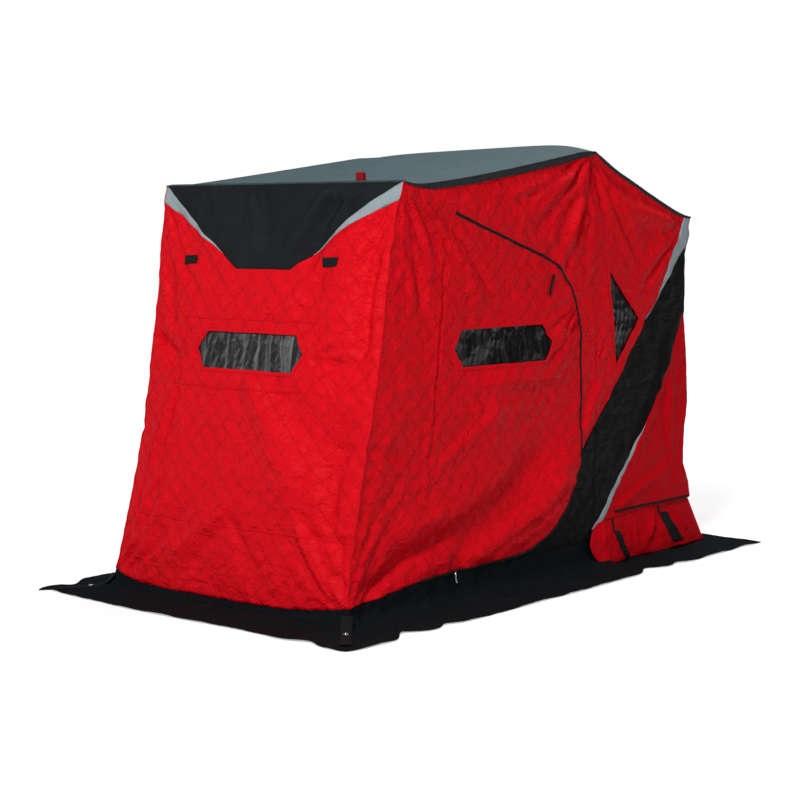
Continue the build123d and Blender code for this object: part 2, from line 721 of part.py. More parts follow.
def tub_hull(grow, floor_z):
    """The tub's drafted form at its inner face, or grown by the wall to its outer face."""
    rim = SLED_RIM_WIDTH - grow
    top_half = RIM_HALF - rim
    front_y, back_y = SLED_FRONT_Y + rim, sled_back_y - rim
    across = Plane.XZ * polygon([
        (-top_half + SLED_SIDE_DRAFT, floor_z), (top_half - SLED_SIDE_DRAFT, floor_z),
        (top_half, SLED_RIM_Z), (-top_half, SLED_RIM_Z),
    ])
    along = polygon([
        (front_y + SLED_END_DRAFT, floor_z), (back_y - SLED_END_DRAFT, floor_z),
        (back_y, SLED_RIM_Z), (front_y, SLED_RIM_Z),
    ])
    block = extrude(across, FAR, both=True) & span(along, HALF)
    corners = block.edges().filter_by(lambda edge: abs((edge @ 0).Z - (edge @ 1).Z) > SEAM)
    return fillet(corners, SLED_CORNER)


back_cloth = (INNER[4], towards(INNER[4], INNER[3]))
sled_back_y = meet(*back_cloth, (0, SLED_RIM_Z), (1, 0))[0] - SEAM
RIM_HALF = HALF - CLOTH - SEAM


def wall_flute(y, side):
    """Block leaning with a long wall of the sled, and the hollow behind it."""
    floor_x = RIM_HALF - SLED_RIM_WIDTH - SLED_SIDE_DRAFT
    lean = SLED_SIDE_DRAFT / (SLED_RIM_Z - SLED_FLOOR_Z)
    top_z = SLED_RIM_Z - FLUTE_TOP_DROP
    top_x = floor_x + lean * (top_z - SLED_FLOOR_Z)

    def prism(shift, width, end_z):
        """The flute's section across the sled, moved outwards and run along it."""
        section = Plane.XZ * polygon([
            (floor_x - FLUTE_DEPTH + shift, SLED_FLOOR_Z),
            (floor_x + SLED_WALL + shift, SLED_FLOOR_Z),
            (top_x + SLED_WALL + shift, end_z),
            (top_x - FLUTE_DEPTH + shift, end_z - FLUTE_DEPTH),
        ])
        block = Pos(0, y, 0) * extrude(section, width / 2, both=True)
        return block if side > 0 else mirrored(block)

    ridge = prism(0, FLUTE_WIDTH, top_z)
    hollow = prism(SLED_WALL, FLUTE_WIDTH - 2 * SLED_WALL, top_z - SLED_WALL)
    return ridge, hollow


def runner(x, middle_y):
    """Runner under the sled's floor, ramped up at both ends."""
    width, length = RUNNER
    top = SLED_FLOOR_Z - SLED_WALL / 2
    section = polygon([
        (middle_y - length / 2, top), (middle_y - length / 2 + RUNNER_RAMP, 0),
        (middle_y + length / 2 - RUNNER_RAMP, 0), (middle_y + length / 2, top),
    ])
    return Pos(x, 0, 0) * span(section, width / 2)


def sled_tub():
    """Moulded tub: drafted and fluted walls, floor on three runners, rim with a lip."""
    tub = tub_hull(SLED_WALL, SLED_FLOOR_Z - SLED_WALL)
    tub += extrude(rim_outline(0) - rim_outline(SLED_WALL), -SLED_LIP)
    tub += extrude(rim_outline(0), -SLED_WALL)
    tub -= tub_hull(0, SLED_FLOOR_Z)
    middle_y = (SLED_FRONT_Y + sled_back_y) / 2
    for side in (-1, 1):
        for count in range(FLUTES):
            y = middle_y + (count - (FLUTES - 1) / 2) * FLUTE_PITCH
            ridge, hollow = wall_flute(y, side)
            tub = tub + ridge - hollow
    for side in (-1, 0, 1):
        tub += runner(side * RUNNER_PITCH, middle_y)
    return tub


# ------------------------------------------------------------------ assembly

both_sides = {
    "side_front_panel": side_front_panel(),
    "over_door_panel": over_door_panel(),
    "door_post_panel": door_post_panel(),
    "door_leaf": door_leaf(),
    "door_window": pane_plate(Pos(*DOOR_WINDOW_CENTRE) * hexagon(DOOR_WINDOW)),
    "door_zip": door_zip(),
    "rear_side_panel": rear_side_panel(),
    "side_stripe": side_stripe(),
    "rear_corner_panel": rear_corner_panel(),
    "sled_flap": sled_flap(),
    "side_skirt": side_skirt(),
}

shared = {
    "side_bands": side_bands(),
    "rear_side_windows": [pane_plate(rear_window_outline())],
    "flap_straps": flap_straps(),
}

nodes = {
    "front_wall": front_wall(),
    "front_crest": front_crest(),
    "front_wedges": Compound(front_wedges()),
    "front_window": front_window(),
    "hook_patches": Compound(hook_patches()),
    "front_skirt": front_skirt(),
    "anchor_tabs": Compound(anchor_tabs()),
    "roof_front": hood_slab(1),
    "roof_rear": hood_slab(2),
    "roof_tab": roof_tab(),
    "back_wall": hood_slab(3),
    "back_flap": back_flap(),
    "back_skirt": back_skirt(),
    "ridge_hoop": ridge_hoop(),
    "rear_hoop": rear_hoop(),
    "front_hoop": front_hoop(),
    "base_hoop": base_hoop(),
    "roof_spreaders": Compound(roof_spreaders()),
    "pivot_plates": Compound(pivot_plates()),
    "sled_tub": sled_tub(),
}
for name, piece in both_sides.items():
    nodes["right_" + name] = piece
    nodes["left_" + name] = mirrored(piece)
for name, pieces in shared.items():
    solids = [solid for piece in pieces for solid in piece.solids()]
    nodes[name] = Compound(solids + [mirrored(solid) for solid in solids])

os.makedirs("parts", exist_ok=True)
for name, shape in nodes.items():
    export_step(shape, f"parts/{name}.step")
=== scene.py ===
"""Ice fishing hut: quilted cloth, trim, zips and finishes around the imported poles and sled.

The hood's surfaces are worked out as functions of a place in the side, front, back or roof
plane, so that pieces sewn to each other share their edges. All lengths are metres.
"""
import logging
import math
from dataclasses import dataclass, field
from enum import Enum
from typing import Callable, Optional, Sequence, Union

import bpy
import numpy as np
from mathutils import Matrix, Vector


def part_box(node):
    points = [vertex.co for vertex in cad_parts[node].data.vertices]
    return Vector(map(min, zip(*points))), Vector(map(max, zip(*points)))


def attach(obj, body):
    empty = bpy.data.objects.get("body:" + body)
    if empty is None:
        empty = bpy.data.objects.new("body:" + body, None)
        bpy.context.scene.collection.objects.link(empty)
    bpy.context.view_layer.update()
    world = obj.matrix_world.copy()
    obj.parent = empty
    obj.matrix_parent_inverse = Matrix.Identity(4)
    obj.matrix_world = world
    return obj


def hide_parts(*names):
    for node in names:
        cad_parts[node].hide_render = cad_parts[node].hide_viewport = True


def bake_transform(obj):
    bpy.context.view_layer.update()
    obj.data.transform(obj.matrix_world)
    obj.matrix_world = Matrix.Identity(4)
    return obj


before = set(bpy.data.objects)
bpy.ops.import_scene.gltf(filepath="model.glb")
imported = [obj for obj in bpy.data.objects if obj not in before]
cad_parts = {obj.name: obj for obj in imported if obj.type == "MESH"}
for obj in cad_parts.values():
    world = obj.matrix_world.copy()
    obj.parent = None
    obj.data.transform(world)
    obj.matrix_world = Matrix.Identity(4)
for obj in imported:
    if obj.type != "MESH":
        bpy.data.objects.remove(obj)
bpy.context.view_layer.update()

LOG = logging.getLogger("ice_hut")
Array = np.ndarray
Point2 = tuple[float, float]
Colour = tuple[float, float, float]
Line = Union[Array, Sequence[Point2]]
Outward = Callable[[Array], Array]
Object = bpy.types.Object
Material = bpy.types.Material
SAME_PLACE = 1e-6  # joints of a line closer than this are one
WELD = 2e-6  # grid of places on which a mesh's points are merged


class Side(Enum):
    """The two long sides of the hut, seen from the front."""

    RIGHT = 1.0
    LEFT = -1.0

    @property
    def prefix(self) -> str:
        """What the names of this side's pieces start with."""
        return "right" if self is Side.RIGHT else "left"

    @property
    def body(self) -> str:
        """Name of the door body on this side."""
        return f"{self.prefix}_door"

    def either(self, right: float, left: float) -> float:
        """The first value on the right side, the second on the left."""
        return right if self is Side.RIGHT else left


# ------------------------------------------------------------------ sums on whole arrays


def smooth(low: float, high: float, value: Array) -> Array:
    """Smooth step: 0 below low, 1 above high, and a cubic ease between them.

    Args:
        low: Value at which the step starts.
        high: Value at which it ends.
        value: Places to work it out at.

    Returns:
        The step at each place, 0 to 1.
    """
    share = np.clip((value - low) / (high - low), 0.0, 1.0)
    return share * share * (3.0 - 2.0 * share)


def bell(value: Array, centre: float, width: float) -> Array:
    """Bell curve, 1 at its centre: e to the minus square of the distance in widths."""
    return np.exp(-((value - centre) / width) ** 2)


def arch(value: Array, start: float, length: float) -> Array:
    """Half a sine wave over a length from a start, nothing beyond its two ends."""
    return np.sin(np.pi * np.clip((value - start) / length, 0, 1))


def soft_floor(value: Array, least: Array, rounding: float) -> Array:
    """The greater of two values, with the crease between them rounded off.

    Half the sum of both, plus half the root of their squared difference and the rounding.

    Args:
        value: Values to hold up.
        least: What they may not fall below.
        rounding: Size of the rounding, in the values' own unit.

    Returns:
        The values, held at or above the floor.
    """
    gap = value - least
    return least + 0.5 * (gap + np.sqrt(gap * gap + rounding * rounding))


def unit(vectors: Array) -> Array:
    """Vectors brought to a length of one."""
    return vectors / np.linalg.norm(vectors, axis=-1, keepdims=True)


def reached(points: Array) -> Array:
    """Distance along a path at each of its points."""
    steps = np.linalg.norm(np.diff(points, axis=0), axis=1)
    return np.concatenate([[0.0], np.cumsum(steps)])


@dataclass(frozen=True)
class Relief:
    """Smooth random relief: a repeating square of random heights, eased between its points."""

    seed: int
    cells: int = 64
    shift: Point2 = (3.1, -1.7)

    def sample(self, a: Array, b: Array, pitch: float) -> Array:
        """Height at each place.

        Args:
            a: First coordinate.
            b: Second coordinate.
            pitch: Distance between the random heights.

        Returns:
            Heights from -1 to 1.
        """
        heights = np.random.default_rng(self.seed).uniform(-1.0, 1.0, (self.cells, self.cells))
        across, along = a / pitch, b / pitch
        column, row = np.floor(across).astype(int), np.floor(along).astype(int)
        right, up = across - column, along - row
        right, up = right * right * (3 - 2 * right), up * up * (3 - 2 * up)
        column, row = column % self.cells, row % self.cells
        next_column, next_row = (column + 1) % self.cells, (row + 1) % self.cells
        low = heights[row, column] * (1 - right) + heights[row, next_column] * right
        high = heights[next_row, column] * (1 - right) + heights[next_row, next_column] * right
        return low * (1 - up) + high * up

    def crumple(self, a: Array, b: Array, pitch: float, octaves: int = 3) -> Array:
        """Sharp-crested relief: half less the size of each octave's height, halved each time.

        Args:
            a: First coordinate.
            b: Second coordinate.
            pitch: Distance between the largest octave's random heights.
            octaves: How many sizes are added up.

        Returns:
            Heights about 0, from -1 to 1.
        """
        total = np.zeros(np.broadcast(a, b).shape)
        for octave in range(octaves):
            height = self.sample(a + self.shift[0] * octave, b + self.shift[1] * octave,
                                 pitch / 2 ** octave)
            total = total + 0.5 ** octave * (0.5 - np.abs(height))
        return total


@dataclass(frozen=True)
class Fold:
    """One fold of the cloth: a rounded crest along a line, with a hollow to its left.

    The height is a bell curve of the distance from the nearest run of the line. The fold
    widens along the line and eases to nothing at its two ends.
    """

    line: tuple[Point2, ...]
    height: float = 0.012
    width: float = 0.028
    hollow: float = 0.6
    widening: Point2 = (0.55, 0.8)
    full: Point2 = (0.14, 0.72)
    hollow_at: Point2 = (-1.6, 1.1)

    def relief(self, a: Array, b: Array) -> Array:
        """Height of the fold at each place.

        Args:
            a: First coordinate in the cloth's plane.
            b: Second coordinate.

        Returns:
            Heights in metres.
        """
        spots = np.array(self.line)
        lengths = np.hypot(*np.diff(spots, axis=0).T)
        total, passed = float(lengths.sum()), 0.0
        nearest = np.full(np.broadcast(a, b).shape, np.inf)
        side, along = np.zeros_like(nearest), np.zeros_like(nearest)
        for start, end, length in zip(spots, spots[1:], lengths):
            run = (end - start) / length
            share = np.clip((a - start[0]) * run[0] + (b - start[1]) * run[1], 0.0, length)
            off_a, off_b = a - start[0] - share * run[0], b - start[1] - share * run[1]
            gap = np.hypot(off_a, off_b)
            closer = gap < nearest
            nearest = np.where(closer, gap, nearest)
            side = np.where(closer, np.sign(off_a * run[1] - off_b * run[0]), side)
            along = np.where(closer, (passed + share) / total, along)
            passed += length
        ends = smooth(0.0, self.full[0], along) * (1 - smooth(self.full[1], 1.0, along))
        across = nearest * side / (self.width * (self.widening[0] + self.widening[1] * along))
        hollow = self.hollow * bell(across, *self.hollow_at)
        return self.height * ends * (bell(across, 0, 1) - hollow)


@dataclass(frozen=True)
class Fan:
    """Folds that run out from one point, where the cloth is pulled.

    The height is a sharpened wave of the angle about the point. It rises from nothing at the
    point, is greatest part way out and dies away at the fan's reach and at its two edges.
    """

    anchor: Point2
    towards: Point2
    spread_degrees: float
    folds: float
    height: float
    seed: int = 1
    wander: float = 0.16
    sharpness: float = 1.3
    full: Point2 = (0.22, 0.35)
    edge: float = 0.6

    def relief(self, a: Array, b: Array) -> Array:
        """Height of the fan at each place.

        Args:
            a: First coordinate in the cloth's plane.
            b: Second coordinate.

        Returns:
            Heights in metres.
        """
        run = np.subtract(self.towards, self.anchor)
        away_a, away_b = a - self.anchor[0], b - self.anchor[1]
        distance = np.hypot(away_a, away_b) / float(np.hypot(*run))
        angle = np.arctan2(away_b, away_a) - math.atan2(run[1], run[0])
        angle = (angle + np.pi) % (2 * np.pi) - np.pi
        half = math.radians(self.spread_degrees) / 2
        wander = self.wander * Relief(self.seed).sample(distance * 4, angle * 3, 1.0)
        wave = np.sin((angle / half + wander) * np.pi * self.folds / 2 + self.seed)
        wave = np.sign(wave) * np.abs(wave) ** self.sharpness
        inside = 1 - smooth(self.edge, 1.0, np.abs(angle) / half)
        rise = smooth(0.0, self.full[0], distance) * (1 - smooth(self.full[1], 1.0, distance))
        return self.height * inside * rise * wave


def along_line(points: Line, count: int) -> Array:
    """Points evenly spaced along a line of straight runs, its two ends included.

    Args:
        points: The line's points, in two or three coordinates.
        count: How many points to give.

    Returns:
        An array of count points.
    """
    line = np.asarray(points, float)
    passed = reached(line)
    wanted = np.linspace(0.0, passed[-1], count)
    return np.stack([np.interp(wanted, passed, line[:, k]) for k in range(line.shape[1])], 1)


def arc(start: Point2, middle: Point2, end: Point2, count: int = 60) -> Array:
    """Circle arc through three points, by the angle about the centre they share.

    Args:
        start: First point.
        middle: A point on the arc.
        end: Last point.
        count: How many points to give.

    Returns:
        Points along the arc.
    """
    corners = np.array([start, middle, end], float)
    centre = np.linalg.solve(2 * np.diff(corners, axis=0), np.diff((corners ** 2).sum(1)))
    angles = np.unwrap(np.arctan2(corners[:, 1] - centre[1], corners[:, 0] - centre[0]))
    sweep = np.linspace(angles[0], angles[2], count)
    radius = float(np.hypot(*(corners[0] - centre)))
    return centre + radius * np.stack([np.cos(sweep), np.sin(sweep)], 1)


def rounded(before: Point2, corner: Point2, after: Point2, radius: float, count: int = 40) -> Array:
    """Arc that rounds the corner between two straight runs, touching both.

    Args:
        before: A point on the first run.
        corner: Where the two runs meet.
        after: A point on the second run.
        radius: The arc's radius.
        count: How many points to give.

    Returns:
        Points along the arc.
    """
    spot = np.array(corner, float)
    back, ahead = unit(np.array(before) - spot), unit(np.array(after) - spot)
    half = math.acos(float(back @ ahead)) / 2
    setback = radius / math.tan(half)
    middle = unit(back + ahead) * (radius / math.sin(half) - radius)
    return arc(spot + back * setback, spot + middle, spot + ahead * setback, count)


def joined(*lines: Line) -> Array:
    """Several lines end to end, with repeated joints dropped.

    Args:
        lines: The lines in order.

    Returns:
        One line.
    """
    whole = np.concatenate([np.asarray(line, float) for line in lines])
    return whole[np.concatenate([[True], np.diff(reached(whole)) > SAME_PLACE])]


def closed(outline: Line) -> Array:
    """An outline with its first point repeated at its end."""
    return joined(outline, outline[:1])


def offset(line: Array, distance: float) -> Array:
    """Line moved sideways, to the left of its heading, by a distance.

    Args:
        line: The line's points.
        distance: How far it moves.

    Returns:
        The moved points.
    """
    heading = np.gradient(np.asarray(line, float), axis=0)
    heading /= np.maximum(np.hypot(*heading.T), 1e-9)[:, None]
    return line + distance * np.stack([-heading[:, 1], heading[:, 0]], 1)


def between(first: Array, second: Array, share: Array) -> Array:
    """Places between two arrays, a share of the way from the first to the second."""
    return first * (1 - share) + second * share


def ruled(first: Line, second: Line, columns: int, rows: int) -> Array:
    """Grid of straight lines from one edge to another, each edge evenly spaced.

    Args:
        first: Points of the first edge.
        second: Points of the edge across from it.
        columns: How many lines.
        rows: How many points on each line.

    Returns:
        Points of shape (rows, columns, 2).
    """
    share = np.linspace(0.0, 1.0, rows)[:, None, None]
    return between(along_line(first, columns)[None], along_line(second, columns)[None], share)


def coons(low: Line, high: Line, left: Line, right: Line, columns: int, rows: int) -> Array:
    """Grid inside four edges: both ruled grids added up, less the one between the corners.

    Args:
        low: Edge at the first row, left to right.
        high: Edge at the last row, left to right.
        left: Edge at the first column, low to high.
        right: Edge at the last column, low to high.
        columns: Points across.
        rows: Points up.

    Returns:
        Points of shape (rows, columns, 2).
    """
    up = np.linspace(0.0, 1.0, rows)[:, None, None]
    across = np.linspace(0.0, 1.0, columns)[None, :, None]
    lows, highs = along_line(low, columns)[None], along_line(high, columns)[None]
    lefts, rights = along_line(left, rows)[:, None], along_line(right, rows)[:, None]
    corners = between(between(lows[:, :1], lows[:, -1:], across),
                      between(highs[:, :1], highs[:, -1:], across), up)
    return between(lows, highs, up) + between(lefts, rights, across) - corners


def ring(opening: Array, outline: Array, columns: int, rows: int) -> Array:
    """Grid between an opening and an outline round it.

    Each line runs from the outline towards the opening's middle and stops at its edge, and the
    line nearest to each corner of the opening ends at that corner.

    Args:
        opening: Corners of the opening, in order.
        outline: Closed line round it.
        columns: How many lines go round.
        rows: How many points on each line.

    Returns:
        Points of shape (rows, columns + 1, 2), the last column repeating the first.
    """
    outer = along_line(closed(outline), columns + 1)[:-1]
    centre = opening.mean(0)
    heading, run, gap = outer - centre, np.roll(opening, -1, 0) - opening, opening - centre
    cross = heading[:, None, 0] * run[None, :, 1] - heading[:, None, 1] * run[None, :, 0]
    cross = np.where(np.abs(cross) < 1e-12, 1e-12, cross)
    reach = (gap[:, 0] * run[:, 1] - gap[:, 1] * run[:, 0]) / cross
    share = (gap[:, 0] * heading[:, None, 1] - gap[:, 1] * heading[:, None, 0]) / cross
    met = (reach > 0) & (share >= -1e-9) & (share <= 1 + 1e-9)
    inner = centre + heading * np.where(met, reach, np.inf).min(1)[:, None]
    for corner in opening:
        inner[np.argmin(np.hypot(*(inner - corner).T))] = corner
    grid = between(inner[None], outer[None], np.linspace(0.0, 1.0, rows)[:, None, None])
    return np.concatenate([grid, grid[:, :1]], 1)


# ------------------------------------------------------------------ meshes


@dataclass
class MeshPiece:
    """A mesh object made from grids of points, with the cloth's own flat coordinates on it."""

    name: str
    outward: Outward
    grids: list[tuple[Array, Array]] = field(default_factory=list)

    def add(self, points: Array, flat: Array) -> "MeshPiece":
        """Adds a grid of points with the flat coordinates of each."""
        self.grids.append((points, flat))
        return self

    def build(self, materials: Sequence[Material], smooth_shaded: bool = True) -> Object:
        """Makes the object, with every grid's faces turned outwards.

        Args:
            materials: Its materials, the first on the outer face.
            smooth_shaded: Whether its faces are shaded smooth.

        Returns:
            The new object, linked to the scene.
        """
        points, flats, faces, count = [], [], [], 0
        for grid, flat in self.grids:
            rows, columns = grid.shape[:2]
            index = count + np.arange(rows * columns).reshape(rows, columns)
            quads = np.stack([index[:-1, :-1], index[:-1, 1:], index[1:, 1:], index[1:, :-1]], -1)
            normal = np.cross(grid[:-1, 1:] - grid[:-1, :-1], grid[1:, :-1] - grid[:-1, :-1])
            middle = (grid[:-1, :-1] + grid[1:, 1:]) / 2
            if float((normal * self.outward(middle)).sum()) < 0:
                quads = quads[..., ::-1]
            points.append(grid.reshape(-1, 3))
            flats.append(flat.reshape(-1, 2))
            faces.append(quads.reshape(-1, 4))
            count += rows * columns
        mesh = self.mesh(*map(np.concatenate, (points, flats, faces)))
        shading = np.full(len(mesh.polygons), smooth_shaded)
        mesh.polygons.foreach_set("use_smooth", shading)
        for material in materials:
            mesh.materials.append(material)
        mesh.validate()
        thing = bpy.data.objects.new(self.name, mesh)
        bpy.context.scene.collection.objects.link(thing)
        return thing

    def mesh(self, points: Array, flats: Array, faces: Array) -> bpy.types.Mesh:
        """Puts whole arrays into a mesh, merging repeated points and dropping empty faces.

        Args:
            points: Corners.
            flats: Flat coordinates of each corner.
            faces: Four corners a face.

        Returns:
            The mesh, with a UV map of the flat coordinates.
        """
        key = np.round(points / WELD).astype(np.int64)
        _, first, same = np.unique(key, axis=0, return_index=True, return_inverse=True)
        corner_flats, faces = flats[faces], same.reshape(-1)[faces]
        distinct = (faces[:, 0] != faces[:, 2]) & (faces[:, 1] != faces[:, 3])
        edges = (faces != np.roll(faces, -1, 1)).sum(1)
        four, three = distinct & (edges == 4), distinct & (edges == 3)
        keep = faces[three] != np.roll(faces[three], -1, 1)
        loops = np.concatenate([faces[four].reshape(-1), faces[three][keep]]).astype(np.int32)
        flat = np.concatenate([corner_flats[four].reshape(-1, 2), corner_flats[three][keep]])
        sizes = np.repeat([4, 3], [four.sum(), three.sum()])
        mesh = bpy.data.meshes.new(self.name)
        mesh.vertices.add(len(first))
        mesh.vertices.foreach_set("co", points[first].astype(np.float32).reshape(-1))
        mesh.loops.add(len(loops))
        mesh.loops.foreach_set("vertex_index", loops)
        mesh.polygons.add(len(sizes))
        starts = np.concatenate([[0], np.cumsum(sizes)[:-1]]).astype(np.int32)
        mesh.polygons.foreach_set("loop_start", starts)
        mesh.update(calc_edges=True)
        mesh.uv_layers.new(name="cloth").data.foreach_set("uv", flat.astype(np.float32).reshape(-1))
        return mesh


def thicken(thing: Object, thickness: float, inner_slot: int = 0) -> Object:
    """Gives a sheet its thickness inwards.

    Args:
        thing: The sheet, its faces outwards.
        thickness: How thick it is.
        inner_slot: Material slots to step on for the inner face.

    Returns:
        The same object.
    """
    solid = thing.modifiers.new("thickness", "SOLIDIFY")
    solid.thickness, solid.offset = thickness, -1.0
    solid.material_offset = inner_slot
    solid.use_even_offset = False
    return thing


def facing(x: float, y: float, z: float) -> Outward:
    """One outward direction for every place of a sheet."""
    return lambda points: np.broadcast_to(np.array([x, y, z]), points.shape)


def all_round(points: Array) -> Array:
    """Outward sense of a closed surface: its places, whose sum over the faces is its volume."""
    return points


def flat_along(path: Array, turn: Array) -> Array:
    """Flat coordinates of a swept surface: distance along its path, and the place round it."""
    return np.stack(np.broadcast_arrays(reached(path)[:, None], turn[None]), -1)


def tube(path: Array, radius: float, sides: int = 8) -> tuple[Array, Array]:
    """Round tube along a path, closed to a point at both ends.

    At each point a circle stands across the path, on two directions square to it.

    Args:
        path: Points along the middle.
        radius: Its radius.
        sides: Points round it.

    Returns:
        The grid of points, and flat coordinates along and round it.
    """
    line = np.asarray(path, float)
    heading = unit(np.gradient(line, axis=0))
    guide = [0.0, 0.0, 1.0] if abs(heading[:, 2]).mean() < 0.8 else [1.0, 0.0, 0.0]
    across = unit(np.cross(heading, guide))
    line, across, over = (np.concatenate([v[:1], v, v[-1:]])
                          for v in (line, across, np.cross(across, heading)))
    sizes = np.full(len(line), radius)
    sizes[[0, -1]] = 0.0
    turn = np.linspace(0.0, 2 * np.pi, sides + 1)
    turn[-1] = 0.0
    ringed = (np.cos(turn)[None, :, None] * across[:, None]
              + np.sin(turn)[None, :, None] * over[:, None])
    points = line[:, None] + ringed * sizes[:, None, None]
    return points, flat_along(line, np.linspace(0, 1, sides + 1))


def band(left: Array, right: Array, rise: Array, thickness: float, rounds: int = 6
         ) -> tuple[Array, Array]:
    """Closed strap between two edge lines, with softly rounded edges.

    Its section is a flattened oval: a raised root curve on the upper face between the two
    edges, and a flat face under it.

    Args:
        left: One edge line.
        right: The other edge line.
        rise: Direction of the upper face at each point.
        thickness: How thick it is.
        rounds: Points across each face.

    Returns:
        The grid of points, and flat coordinates along and across it.
    """
    share = np.linspace(0.0, 1.0, rounds)
    crown = np.minimum(1.0, 4.0 * np.minimum(share, 1 - share)) ** 0.5
    over = between(left[:, None], right[:, None], share[None, :, None])
    upper = over + rise[:, None] * (thickness * (0.25 + 0.75 * crown))[None, :, None]
    points = np.concatenate([upper, over[:, ::-1], upper[:, :1]], 1)
    first, last = (points[k].mean(1, keepdims=True).repeat(points.shape[1], 1)
                   for k in (slice(0, 1), slice(-1, None)))
    middle = (left + right) / 2
    width = float(np.linalg.norm(right[0] - left[0]))
    flat = flat_along(np.concatenate([middle[:1], middle, middle[-1:]]),
                      np.concatenate([share, share[::-1], share[:1]]) * width)
    return np.concatenate([first, points, last]), flat


# ------------------------------------------------------------------ shader sums


class Value:
    """A socket in a material's node tree that takes part in sums."""

    def __init__(self, graph: "Graph", socket: bpy.types.NodeSocket) -> None:
        """Wraps a socket of the graph."""
        self.graph = graph
        self.socket = socket

    def math(self, operation: str, *others: Union["Value", float]) -> "Value":
        """This value and others through one Math node."""
        inputs = dict(enumerate((self, *others)))
        return self.graph.value("ShaderNodeMath", {"operation": operation}, inputs)

    def __add__(self, other: Union["Value", float]) -> "Value":
        """Sum."""
        return self.math("ADD", other)

    __radd__ = __add__

    def __sub__(self, other: Union["Value", float]) -> "Value":
        """Difference."""
        return self.math("SUBTRACT", other)

    def __rsub__(self, other: float) -> "Value":
        """Number less this value."""
        return self.math("MULTIPLY_ADD", -1.0, other)

    def __mul__(self, other: Union["Value", float]) -> "Value":
        """Product."""
        return self.math("MULTIPLY", other)

    __rmul__ = __mul__

    def __pow__(self, power: float) -> "Value":
        """Power."""
        return self.math("POWER", power)

    def __abs__(self) -> "Value":
        """Size without its sign."""
        return self.math("ABSOLUTE")

    def fraction(self) -> "Value":
        """What is left above the whole number."""
        return self.math("FRACT")

    def wave(self) -> "Value":
        """Sine."""
        return self.math("SINE")

    def largest(self, other: "Value") -> "Value":
        """The greater of two values."""
        return self.math("MAXIMUM", other)

    def step(self, low: float, high: float) -> "Value":
        """Smooth step from 0 at low to 1 at high."""
        inputs = {"Value": self, "From Min": low, "From Max": high}
        return self.graph.value("ShaderNodeMapRange", {"interpolation_type": "SMOOTHSTEP"}, inputs)

    def folded(self) -> "Value":
        """Size of twice this value less one, which folds soft relief into sharp creases."""
        return abs(self * 2 - 1)


